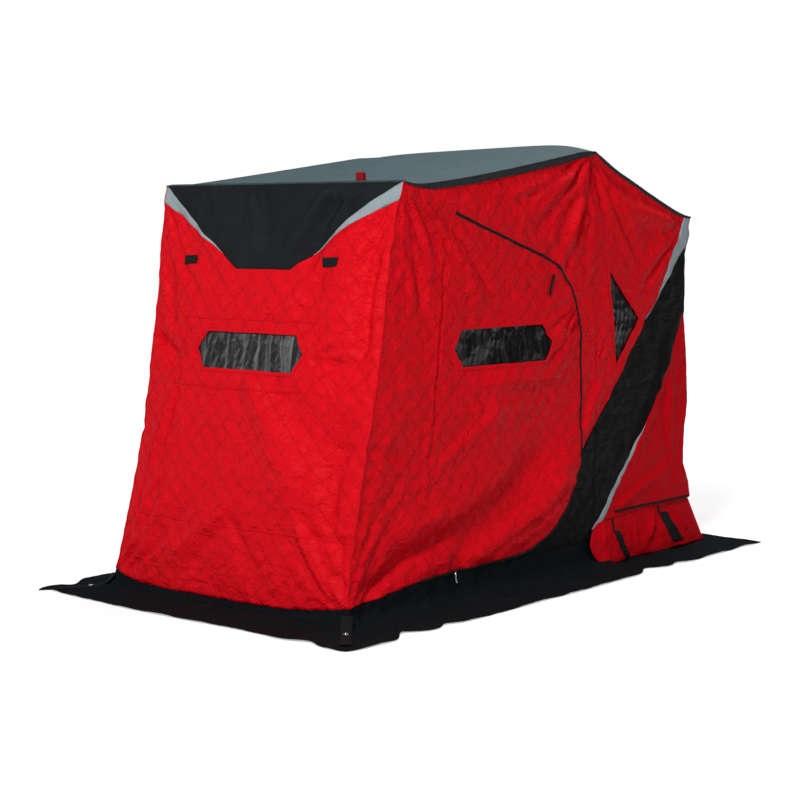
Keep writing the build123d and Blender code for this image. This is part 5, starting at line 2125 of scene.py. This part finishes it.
    def seams(self) -> None:
        """Seams and edge strips: corner piping, fold, ridge and door seams, frames and hem."""
        prefix, red, black = self.side.prefix, self.finishes.red_trim, self.finishes.crest
        (ridge_y, ridge_z), door, hem = CORNERS["ridge"], self.side.body, CORNERS["back_hem"][1]
        fold_y, fold_z = OUTLINES.fold_top()
        frame_line = closed(grown(OUTLINES.door_window(), 0.0075))
        rear_line = closed(grown(np.array(OUTLINES.rear_window), 0.006))
        self.piping(f"{prefix}_corner_piping", [[FRONT_FOOT, CORNERS["front_top"]]], 0.0028, red,
                    "red_cloth")
        for name, line, low, high, finish, slot, body, thickness in (
            ("fold_seam", [(fold_y, fold_z - 0.045), HINGE_FOOT], -0.012, -0.001, red,
             "red_cloth", "hood", 0.0020),
            ("ridge_seam", [(ridge_y, ridge_z - 0.01), (ridge_y, 0.74)], -0.005, 0.005, red,
             "red_cloth", "hood", 0.0016),
            ("stripe_seam", [(ridge_y, 0.70), (ridge_y, 0.26)], -0.004, 0.004,
             self.finishes.stripe, "black_cloth", "hood", 0.0014),
            ("door_seam", [(-0.700, 0.952), (-0.20, 0.944), (0.262, 0.930)], -0.004, 0.004, red,
             "red_cloth", door, 0.0016),
            ("door_window_frame", frame_line, -0.0085, 0.0085, red, "red_cloth", door, 0.0018),
            ("rear_window_frame", rear_line, -0.007, 0.007, red, "red_cloth", "hood", 0.0018),
            ("hem_binding", [(0.605, hem), (1.291, hem)], -0.009, 0.004, black, "black_cloth",
             "hood", 0.0050),
        ):
            self.strips(f"{prefix}_{name}", [line], low, high, finish, slot, body,
                        thickness=thickness)


@dataclass
class FrontWall(Wall):
    """Front wall: red cloth with a window, black crest, wedges and patches."""

    window_z: float = 1.092
    wedge_drop: float = 0.076
    wedge_tip: Point2 = (0.251, 1.5065)
    patch: Point2 = (0.090, 0.038)
    patch_turn: float = 2.5
    patch_centres: tuple[Point2, Point2] = ((-0.4745, 1.484), (0.3965, 1.481))
    ripples: Ripples = Ripples(170, 44, 0.0024, 80, 2.2, 15, 0.0)

    def surface(self, across: Array, up: Array, lift: float) -> Array:
        """Places in space of places in the front plane."""
        return SHAPE.front(across, up, lift)

    def flat(self, across: Array, up: Array) -> Array:
        """Flat coordinates of the front cloth."""
        return SHAPE.front_flat(across, up)

    def outward(self, points: Array) -> Array:
        """Direction out of the front wall."""
        return facing(0.0, -1.0, 0.2)(points)

    def window(self) -> Array:
        """Corners of the front window."""
        return hexagon((-0.004, self.window_z), 0.640, 0.530, 0.160)

    def wedge_line(self, sign: int, drop: float) -> Array:
        """Line from a wedge's inner tip out to the corner, bowed up on the right side.

        Args:
            sign: 1 on the right side, -1 on the left.
            drop: How far its outer end is below the crest's corner.

        Returns:
            The line, as (x, z).
        """
        line = along_line([(sign * self.wedge_tip[0], self.wedge_tip[1]),
                           (sign * HALF, CORNERS["front_top"][1] - drop)], 70)
        bow = 0.021 if sign > 0 else 0.12 * drop - 0.005
        line[:, 1] += np.sin(np.linspace(0, np.pi, len(line))) * bow
        return line

    def crest_line(self, drop: float) -> Array:
        """Line under the crest from the left corner to the right, below the wedges if dropped."""
        foot = along_line([(-CREST_FOOT[0], CREST_FOOT[1]), CREST_FOOT], 30)
        return joined(self.wedge_line(-1, drop)[::-1], foot, self.wedge_line(1, drop))

    def wall(self) -> None:
        """Red cloth below the crest and wedges, with the window cut through."""
        low_x, upper = np.linspace(HALF, -HALF, 150), self.crest_line(self.wedge_drop)
        outline = joined(np.stack([low_x, front_hem(low_x)], 1),
                         along_line([(-HALF, KICK_FRONT), upper[0]], 170), upper,
                         along_line([upper[-1], (HALF, KICK_FRONT)], 170))
        self.panel("front_wall_cloth", [ring(self.window(), outline, 560, 84)],
                   [self.finishes.red, self.finishes.lining], "red_cloth", ("front_wall",))

    def crest(self) -> None:
        """Black crest under the roof, wide above and narrow below."""
        top, line, black = CORNERS["front_top"][1], self.crest_line(0.0), self.finishes.crest
        self.panel("front_crest_cloth", [ruled(line, [(-HALF, top), (HALF, top)], 190, 44)],
                   [black, self.finishes.lining], "black_cloth", ("front_crest",), lift=0.0004)
        self.piping("crest_piping", [line[60:-60]], 0.0016, black, "black_cloth")

    def wedges(self) -> None:
        """Reflective wedges under the crest's slanting edges."""
        grids = [ruled(self.wedge_line(sign, 0.0), self.wedge_line(sign, self.wedge_drop), 60, 6)
                 for sign in (-1, 1)]
        self.panel("front_wedge_tape", grids, [self.finishes.tape], "reflective_band",
                   ("front_wedges",), lift=0.0014, thickness=0.0012)

    def pane(self) -> None:
        """Window film behind the front wall."""
        self.film("front_window_film", self.window(), np.array([0.0, self.window_z]),
                  self.ripples, np.array([0.0, 1.0, 0.0]), self.finishes.front_film,
                  ("front_window",))

    def patches(self) -> None:
        """Hook-and-loop patches below the crest's ends, a little askew."""
        piece = MeshPiece("hook_patch_tape", self.outward)
        (wide, tall), turn = self.patch, math.radians(self.patch_turn)
        x, z = np.meshgrid(np.linspace(-0.5, 0.5, 14) * wide, np.linspace(-0.5, 0.5, 8) * tall)
        turned = np.stack([x * math.cos(turn) - z * math.sin(turn),
                           x * math.sin(turn) + z * math.cos(turn)], -1)
        for grid in (turned + centre for centre in self.patch_centres):
            piece.add(SHAPE.front(grid[..., 0], grid[..., 1], 0.0030), grid)
        thing = thicken(piece.build([self.finishes.webbing]), 0.0024)
        settle(thing, "hood", ("hook_patches",))

    def build(self) -> None:
        """Builds the front wall."""
        for step in (self.wall, self.crest, self.wedges, self.pane, self.patches, self.seams):
            step()

    def seams(self) -> None:
        """Window frame, the seams round it and the two seams across the wall."""
        red, frame_line = self.finishes.red_trim, closed(grown(self.window(), 0.0075))
        self.strips("front_window_frame", [frame_line], -0.0085, 0.0085, red, "red_cloth",
                    thickness=0.0018)
        box = [(-0.425, 0.948), (-0.425, 1.228), (0.385, 1.228), (0.385, 0.948)]
        lines = [*zip(box, box[1:]),
                 [(-0.470, 0.936), (-0.20, 0.928), (0.16, 0.928), (0.350, 0.938)],
                 [(-0.600, 0.352), (-0.10, 0.345), (0.704, 0.350)],
                 arc((-0.475, 0.900), (-0.560, 0.690), (-0.620, 0.380), 30)]
        self.strips("front_seams", lines, -0.0035, 0.0035, red, "red_cloth", thickness=0.0020)


def up_and_out(points: Array) -> Array:
    """Direction out of the roof: up, and leaning out over the sides."""
    return points * np.array([0.8, 0.0, 0.0]) + np.array([0.0, 0.0, 1.0])


@dataclass
class RoofAndBack:
    """Roof cloth that wraps over the side walls' edges, the back wall, rolls and the tab."""

    finishes: Finishes
    wrap: float = 0.030
    roof_thickness: float = 0.004
    roll_radius: float = 0.0048

    def roof(self) -> None:
        """Two roof cloths that meet at the ridge, each with a binding down its side edges."""
        ridge_y, finishes = CORNERS["ridge"][0], self.finishes
        for name, low, high in (("roof_front", CORNERS["front_top"][0], ridge_y),
                                ("roof_rear", ridge_y, CORNERS["back_top"][0])):
            along = np.linspace(low, high, int((high - low) / 0.014))
            y, x = np.meshgrid(along, np.linspace(-HALF, HALF, 91), indexing="ij")
            cloth(f"{name}_cloth", [(SHAPE.roof(x, y), np.stack([x, y], -1))], up_and_out,
                  [finishes.roof, finishes.lining], self.roof_thickness, (name,))
            parts = []
            for sign in (-1, 1):
                edge = sign * np.linspace(HALF - 0.010, HALF + self.wrap, 10)
                y, x = np.meshgrid(along, edge, indexing="ij")
                beyond = np.maximum(np.abs(x) - HALF, 0.0) * SHAPE.wrap_share(y)
                flat = np.stack([np.minimum(np.abs(x), HALF) + beyond, y], -1)
                parts.append((SHAPE.roof(x, y, 0.0012), flat))
            cloth(f"{name}_binding", parts, up_and_out, [finishes.roof_edge], 0.0020)

    def back(self) -> None:
        """Red quilted back wall, down to the hem over the sled."""
        z, x = np.meshgrid(np.linspace(CORNERS["back_hem"][1], CORNERS["back_top"][1], 110),
                           np.linspace(-HALF, HALF, 120), indexing="ij")
        cloth("back_wall_cloth", [(SHAPE.back(x, z), SHAPE.back_flat(x, z))],
              facing(0.0, 1.0, 0.0), [self.finishes.red, self.finishes.lining], CLOTH,
              ("back_wall",))

    def edge_roll(self) -> None:
        """Rolled edge where the roof cloth turns down over the crest, and at the back."""
        piece, across = MeshPiece("roof_edge_roll", all_round), np.linspace(-HALF, HALF, 90)
        for name, lift, drop in (("front_top", 0.0, 0.006), ("back_top", -0.001, 0.0)):
            path = SHAPE.roof(across, np.full_like(across, CORNERS[name][0]), lift)
            path[:, 2] -= drop * smooth(-0.685, -0.712, across)
            piece.add(*tube(path, self.roll_radius))
        settle(piece.build([self.finishes.roof]), "hood")

    def tab(self) -> None:
        """Webbing tab on the roof: a strip that rises, bows forward and folds back down."""
        low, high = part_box("roof_tab")
        middle_x, middle_y = (low.x + high.x) / 2, (low.y + high.y) / 2
        turn = np.linspace(0.0, np.pi, 24)
        foot = float(SHAPE.roof(np.array(middle_x), np.array(middle_y))[..., 2])
        y = middle_y + 0.007 * np.cos(turn) - 0.006 * np.sin(turn)
        z = foot - 0.001 + (high.z - foot) * np.sin(turn) ** 0.45
        left, right = (np.stack([np.full_like(y, x), y, z], 1) for x in (low.x, high.x))
        rise = np.stack([0 * y, np.cos(turn), np.sin(turn)], 1)
        piece = MeshPiece("roof_tab_webbing", all_round).add(*band(left, right, rise, 0.0016))
        built = piece.build([self.finishes.red_webbing])
        thing = settle(built, "hood", ("roof_tab",))

    def build(self) -> None:
        """Builds the roof and the back."""
        for step in (self.roof, self.back, self.edge_roll, self.tab):
            step()


@dataclass
class SledFlaps:
    """Red flaps that hang from the hem over the sled's sides and back."""

    finishes: Finishes
    foot_z: float = 0.020
    setback: float = 0.0045
    side_flare: float = 0.036
    back_flare: float = 0.115
    back_y: float = 1.290
    thickness: float = 0.003
    strap_lines: tuple[tuple[Point2, Point2, Point2, float], ...] = (
        ((0.590, 0.258), (0.580, 0.168), (0.692, 0.024), 0.028),
        ((0.998, 0.258), (1.004, 0.204), (1.085, 0.046), 0.036),
    )
    folds: tuple[Fold, ...] = (
        Fold(((0.56, 0.262), (0.50, 0.20), (0.47, 0.09)), 0.012, 0.014),
        Fold(((0.99, 0.262), (0.92, 0.17), (0.86, 0.06)), 0.016, 0.018),
        Fold(((0.66, 0.262), (0.72, 0.15), (0.74, 0.04)), 0.012, 0.016),
        Fold(((1.08, 0.255), (1.16, 0.16), (1.20, 0.06)), 0.014, 0.016),
        Fold(((0.80, 0.262), (0.78, 0.14), (0.80, 0.05)), 0.010, 0.014),
    )

    def hang(self, z: Array) -> Array:
        """Share of the way down from the hem to the flap's foot."""
        hem = CORNERS["back_hem"][1]
        return np.clip((hem - z) / (hem - self.foot_z), 0.0, 1.0)

    def side_point(self, y: Array, z: Array, side: Side, lift: float = 0.0) -> Array:
        """Place on a side flap, leaning outwards below the hem with soft upright folds.

        Args:
            y: Length along the hut.
            z: Height.
            side: Which side.
            lift: Extra distance outwards.

        Returns:
            Points in space.
        """
        down = self.hang(z)
        ends = smooth(0.37, 0.48, y) * (1 - smooth(1.14, 1.28, y))
        lines = sum(fold.relief(y, z) for fold in self.folds)
        folds = (0.006 * np.sin(y * 24 + 2.0 * np.sin(y * 5))
                 + 0.008 * Relief(81).sample(y, z, 0.10)
                 + 0.007 * Relief(82).crumple(y, z, 0.09) + lines) * ends
        nose = 0.034 * down ** 1.5 * bell(y, 0.45, 0.09)
        out = HALF - self.setback + self.side_flare * down + nose + folds * smooth(0.0, 0.5, down)
        back_y = y + self.back_flare * down * smooth(0.75, 1.29, y)
        return np.stack(np.broadcast_arrays(side.value * (out + lift), back_y, z), -1)

    def sides(self) -> None:
        """Flap over each side of the sled."""
        hem = CORNERS["back_hem"][1] - 0.001
        nose = joined([(0.483, hem)], arc((0.483, 0.228), (0.416, 0.190), (0.372, 0.128), 30),
                      arc((0.372, 0.128), (0.394, 0.062), (0.450, self.foot_z), 20))
        grid = ruled(nose, [(self.back_y, hem), (self.back_y, self.foot_z)], 34, 96)
        for side in Side:
            points = self.side_point(grid[..., 0], grid[..., 1], side)
            cloth(f"{side.prefix}_sled_flap_cloth", [(points, grid)], facing(side.value, 0.0, 0.0),
                  [self.finishes.plain_red, self.finishes.lining], self.thickness,
                  (f"{side.prefix}_sled_flap",))

    def back(self) -> None:
        """Flap over the back of the sled, leaning out to the skirt."""
        hem = CORNERS["back_hem"][1] - 0.001
        z, share = np.meshgrid(np.linspace(hem, self.foot_z, 34), np.linspace(-1, 1, 120),
                               indexing="ij")
        down = self.hang(z)
        x = share * (HALF - self.setback + self.side_flare * down)
        folds = 0.008 * np.sin(x * 24 + 2 * np.sin(x * 6))
        folds = folds * smooth(0.05, 0.6, down) * (1 - share ** 8)
        points = np.stack([x, self.back_y + self.back_flare * down + folds, z], -1)
        cloth("back_flap_cloth", [(points, np.stack([x, z * 1.1], -1))], facing(0.0, 1.0, 0.0),
              [self.finishes.plain_red, self.finishes.lining], self.thickness,
              ("back_flap",))

    def straps(self) -> None:
        """Two webbing straps on each side flap, narrow above the knee and wide below it."""
        across = np.linspace(-1, 1, 8)[None, :, None]
        for side in Side:
            parts = []
            for top, knee, foot, wide in self.strap_lines:
                turned = (knee[0] + wide, knee[1] - 0.004)
                middle = np.concatenate([along_line([top, knee], 9),
                                         along_line([turned, foot], 20)])
                half = np.where(np.arange(len(middle)) < 9, 0.007, wide)[:, None]
                grid = middle[:, None] + np.stack([half, 0 * half], -1) * across
                parts.append((self.side_point(grid[..., 0], grid[..., 1], side, 0.004), grid))
            cloth(f"{side.prefix}_flap_straps", parts, facing(side.value, 0.0, 0.0),
                  [self.finishes.webbing], 0.003,
                  ("flap_straps",) if side is Side.RIGHT else ())

    def build(self) -> None:
        """Builds the flaps and their straps."""
        for step in (self.sides, self.back, self.straps):
            step()


@dataclass
class GroundSkirt:
    """Black kick band round the foot that bends out into the skirt lying on the ice.

    Each place along a side has three points: on the wall at the red cloth's edge, at the wall's
    foot, and on the skirt's outer edge. The cloth follows a conic curve through the first and
    the last, pulled towards the foot.
    """

    finishes: Finishes
    reach_x: float = 0.962
    reach_y: float = 1.603
    flap_x: float = 0.736
    flap_y: float = 1.397
    pull: float = 2.2
    rows: int = 34
    tuck: float = -0.0012
    least_z: float = 0.0022
    bead_radius: float = 0.0026
    tab_half: float = 0.025

    def side_edges(self, side: Side, share: Array) -> tuple[Array, Array, Array]:
        """Top, foot and outer points along one side, from the front corner to the back one.

        Args:
            side: Which side.
            share: Share of the way along.

        Returns:
            Three arrays of points.
        """
        front, wall_end = CORNERS["front_base"][0], OUTLINES.wall_foot_end
        foot_y = front + (self.flap_y - front) * share
        top_y = foot_y + (FRONT_FOOT[0] - front) * (1 - smooth(0.0, 0.3, share))
        under = smooth(wall_end - 0.01, wall_end + 0.05, top_y)
        behind_flap = 0.052 * smooth(0.405, 0.455, top_y)
        top_z = (OUTLINES.kick(top_y) + 0.004 + behind_flap) * (1 - under) + 0.022 * under
        wall = SHAPE.side(top_y, top_z, side, self.tuck)
        wall_x = np.abs(wall[:, 0]) * (1 - under) + self.flap_x * under
        foot_x = wall_x + 0.004 * (1 - under)
        shift = side.either(0.0, 0.21)
        outer_y = -self.reach_y + 2 * self.reach_y * share
        notch = sum(depth * bell(outer_y, centre, width) for depth, centre, width in (
            (0.070, -1.22 - shift, 0.075), (0.030, -0.98, 0.05),
            (0.066, 0.60 + shift, 0.085), (0.022, 0.82, 0.05)))
        corners = 0.036 * np.exp(-share / 0.018)
        outer_x = (self.reach_x - corners - notch
                   + 0.006 * Relief(93).sample(outer_y + shift, outer_y * 0, 0.16))
        top_y = wall[:, 1] * (1 - under) + foot_y * under
        return tuple(np.stack([side.value * x, y, np.broadcast_to(z, x.shape)], 1) for x, y, z in (
            (wall_x, top_y, top_z), (foot_x, foot_y, 0.003), (outer_x, outer_y, 0.002)))

    def front_edges(self, share: Array) -> tuple[Array, Array, Array]:
        """Top, foot and outer points across the front, from the left corner to the right one.

        Args:
            share: Share of the way across.

        Returns:
            Three arrays of points.
        """
        x = HALF * (2 * share - 1)
        top = SHAPE.front(x, front_hem(x) + 0.004, self.tuck)
        left, right = (self.side_edges(side, np.array([0.0])) for side in (Side.LEFT, Side.RIGHT))
        foot = SHAPE.front(x, np.full_like(x, 0.003), 0.004)
        outer = between(left[2], right[2], share[:, None])
        wave = (0.030 * bell(x, 0.55, 0.045) - 0.012 * bell(x, 0.44, 0.05)
                + 0.010 * Relief(94).sample(x, x * 0, 0.22) + 0.040 * bell(share, 0.0, 0.10))
        outer[:, 1] += wave * smooth(0.0, 0.01, share) * smooth(1.0, 0.985, share)
        for ends, place in ((left, 0), (right, -1)):
            top[place], foot[place] = ends[0][0], ends[1][0]
        return top, foot, outer

    def back_edges(self, share: Array) -> tuple[Array, Array, Array]:
        """Top, foot and outer points across the back, from the right corner to the left one.

        Args:
            share: Share of the way across.

        Returns:
            Three arrays of points.
        """
        right, left = (self.side_edges(side, np.array([1.0])) for side in (Side.RIGHT, Side.LEFT))
        return tuple(between(*ends, share[:, None]) for ends in zip(right, left))

    def conic(self, edges: Sequence[Array], down: Array) -> Array:
        """Places a share of the way down the curve from the top to the outer edge."""
        weights = (1 - down) ** 2, 2 * self.pull * down * (1 - down), down ** 2
        return sum(weight * edge for weight, edge in zip(weights, edges)) / sum(weights)

    def lying(self, edges: Sequence[Array]) -> tuple[Array, Array]:
        """Grid of the cloth between its edges, with swells that never go below the ice.

        Args:
            edges: Top, foot and outer points.

        Returns:
            The grid of points and its flat coordinates.
        """
        down = (np.linspace(0.0, 1.0, self.rows) ** 1.15)[:, None]
        points = self.conic([edge[None] for edge in edges], down[..., None])
        x, y, place = points[..., 0], points[..., 1], np.arange(points.shape[1])
        swell = ((0.5 + 0.5 * Relief(91).sample(x, y, 0.11)) * 0.024
                 + Relief(92).crumple(x, y, 0.09) * 0.012)
        swell = swell * smooth(0.15, 0.6, down) * (1 - 0.75 * smooth(0.8, 1.0, down))
        ends = np.minimum(1.0, np.minimum(place, place[::-1]) / 8.0)
        points[..., 2] = np.maximum(points[..., 2] + swell * ends, self.least_z)
        steps = np.linalg.norm(np.diff(points, axis=0), axis=-1)
        depth = np.concatenate([np.zeros((1, len(place))), np.cumsum(steps, axis=0)])
        run = reached(points[self.rows // 2])
        return points, np.stack(np.broadcast_arrays(run[None], -depth), -1)

    def piece(self, node: str, edges: Sequence[Array], outward: Outward) -> None:
        """Makes one side's cloth with the bead along its outer edge.

        Args:
            node: The node that it stands for.
            edges: Top, foot and outer points.
            outward: Direction out of the cloth.
        """
        points, flat = self.lying(edges)
        cloth(f"{node}_cloth", [(points, flat)], outward, [self.finishes.skirt], 0.0018,
              (node,))
        bead = points[-1] + [0.0, 0.0, 0.0008]
        hem = MeshPiece(f"{node}_cloth_hem", all_round).add(*tube(bead, self.bead_radius, 6))
        settle(hem.build([self.finishes.crest]), "hood")

    def anchors(self) -> None:
        """Webbing tab with a metal eyelet down each front corner of the skirt."""
        webbing = MeshPiece("anchor_tab_webbing", all_round)
        eyelets = MeshPiece("anchor_eyelets", all_round)
        turn, section = (np.linspace(0, 2 * np.pi, count) for count in (33, 13))
        turn, section = turn[:, None, None], section[None, :, None]
        for side in Side:
            edges = [edge[0] for edge in self.side_edges(side, np.array([0.0]))]
            middle = self.conic(edges, np.linspace(0.10, 0.93, 40)[:, None])
            heading = unit(np.gradient(middle, axis=0))
            across = unit(np.cross(heading, [0.0, 0.0, 1.0]))
            rise = np.cross(across, heading)
            middle = middle + rise * 0.006
            half = across * self.tab_half
            webbing.add(*band(middle - half, middle + half, rise, 0.0022))
            centre, ahead, aside, up = (v[27] for v in (middle, heading, across, rise))
            round_hole = np.cos(turn) * ahead + np.sin(turn) * aside
            eyelet = (centre + up * (0.0026 + 0.0022 * np.sin(section))
                      + (0.0105 + 0.0030 * np.cos(section)) * round_hole)
            eyelets.add(eyelet, eyelet[..., :2])
        thing = settle(webbing.build([self.finishes.webbing]), "hood", ("anchor_tabs",))
        settle(eyelets.build([self.finishes.nickel]), "hood")

    def build(self) -> None:
        """Builds the kick bands and skirts."""
        share = np.linspace(0.0, 1.0, 270)
        for side in Side:
            self.piece(f"{side.prefix}_side_skirt", self.side_edges(side, share),
                       facing(side.value * 0.6, 0.0, 1.0))
        share = np.linspace(0.0, 1.0, 170)
        self.piece("front_skirt", self.front_edges(share), facing(0.0, -0.6, 1.0))
        self.piece("back_skirt", self.back_edges(share), facing(0.0, 0.3, 1.0))
        self.anchors()


@dataclass
class FrameFinishes:
    """Finishes of the poles, plates and sled, whose shapes come from the frame."""

    finishes: Finishes

    def build(self) -> None:
        """Dresses each node that stays."""
        poles = ("ridge_hoop", "rear_hoop", "front_hoop", "base_hoop", "roof_spreaders")
        dressed = {node: self.finishes.aluminium for node in poles}
        dressed.update(pivot_plates=self.finishes.steel, sled_tub=self.finishes.sled)
        for node, material in dressed.items():
            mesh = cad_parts[node].data
            mesh.materials.clear()
            mesh.materials.append(material)
            LOG.info("%s: dressed as %s", node, material.name)


@dataclass
class Studio:
    """Plain pale floor, soft lamps and the camera."""

    lens: float = 81.53
    place: tuple[float, float, float] = (5.5168, -6.7439, 1.6417)
    yaw: float = 39.978
    pitch: float = -5.491
    aim: tuple[float, float, float] = (0.0, 0.0, 0.9)
    floor_half: float = 30.0

    def camera(self) -> None:
        """Camera at eye height, front right of the hut."""
        data = bpy.data.cameras.new("camera")
        data.lens = self.lens
        data.sensor_width = 36.0
        thing = bpy.data.objects.new("camera", data)
        thing.location = self.place
        thing.rotation_euler = (math.radians(90 + self.pitch), 0.0, math.radians(self.yaw))
        bpy.context.scene.collection.objects.link(thing)
        bpy.context.scene.camera = thing

    def lamp(self, name: str, place: Sequence[float], size: float, power: float) -> None:
        """Square soft lamp that faces the hut's middle.

        Args:
            name: The lamp's name.
            place: Where it stands.
            size: Length of its sides.
            power: Its power in watts.
        """
        data = bpy.data.lights.new(name, "AREA")
        data.size = size
        data.energy = power
        thing = bpy.data.objects.new(name, data)
        thing.location = place
        aim = Vector(self.aim) - Vector(place)
        thing.rotation_euler = aim.to_track_quat("-Z", "Y").to_euler()
        bpy.context.scene.collection.objects.link(thing)

    def floor(self) -> None:
        """White floor that keeps the hut's shadow."""
        graph = Graph("floor_white")
        path = graph.node("ShaderNodeLightPath")
        camera, gloss = (Value(graph, path.outputs[name])
                         for name in ("Is Camera Ray", "Is Glossy Ray"))
        seen = camera + gloss
        east, north, _ = graph.split(graph.object_coordinates())
        away = (east * east + north * north).step(4.0, 30.0)
        glow = graph.blend(away, (0.42, 0.42, 0.42), (1.0, 1.0, 1.0))
        glow = graph.blend(seen, (0.0, 0.0, 0.0), glow)
        graph.shader.inputs["Emission Strength"].default_value = 1.0
        material = graph.finish({"Base Color": (0.82, 0.82, 0.82, 1.0), "Roughness": 0.9},
                                {"Emission Color": glow})
        reach = np.linspace(-self.floor_half, self.floor_half, 3)
        x, y = np.meshgrid(reach, reach)
        grid = np.stack([x, y, np.full_like(x, -0.001)], -1)
        piece = MeshPiece("floor", facing(0.0, 0.0, 1.0)).add(grid, grid[..., :2])
        piece.build([material], False)

    def sky(self) -> None:
        """Even light from all round, white where the camera sees it."""
        world = bpy.data.worlds.new("studio")
        bpy.context.scene.world = world
        world.use_nodes = True
        tree = world.node_tree
        tree.nodes.clear()
        path = tree.nodes.new("ShaderNodeLightPath")
        mix = tree.nodes.new("ShaderNodeMixShader")
        soft, white = (tree.nodes.new("ShaderNodeBackground") for _ in range(2))
        soft.inputs[0].default_value = (0.92, 0.96, 1.0, 1.0)
        soft.inputs[1].default_value = 0.16
        white.inputs[0].default_value = (1.0, 1.0, 1.0, 1.0)
        tree.links.new(path.outputs["Is Camera Ray"], mix.inputs[0])
        tree.links.new(soft.outputs[0], mix.inputs[1])
        tree.links.new(white.outputs[0], mix.inputs[2])
        output = tree.nodes.new("ShaderNodeOutputWorld")
        tree.links.new(mix.outputs[0], output.inputs[0])

    def build(self) -> None:
        """Builds the studio."""
        self.camera()
        self.floor()
        self.sky()
        self.lamp("key", (3.3, -6.6, 6.2), 1.6, 572.0)
        self.lamp("left", (-6.0, -4.0, 3.4), 2.5, 40.0)
        self.lamp("right", (6.5, -0.5, 4.0), 2.5, 12.0)
        self.lamp("top", (0.0, 2.5, 6.5), 3.0, 212.0)
        bpy.context.scene.view_settings.view_transform = "Standard"


def main() -> None:
    """Builds the hut and its studio."""
    logging.basicConfig(level=logging.INFO, format="%(name)s %(message)s")
    finishes = Finishes()
    Studio().build()
    FrontWall(finishes).build()
    for side in Side:
        SideWall(finishes, side=side).build()
    RoofAndBack(finishes).build()
    SledFlaps(finishes).build()
    GroundSkirt(finishes).build()
    FrameFinishes(finishes).build()


if __name__ == "__main__":
    main()
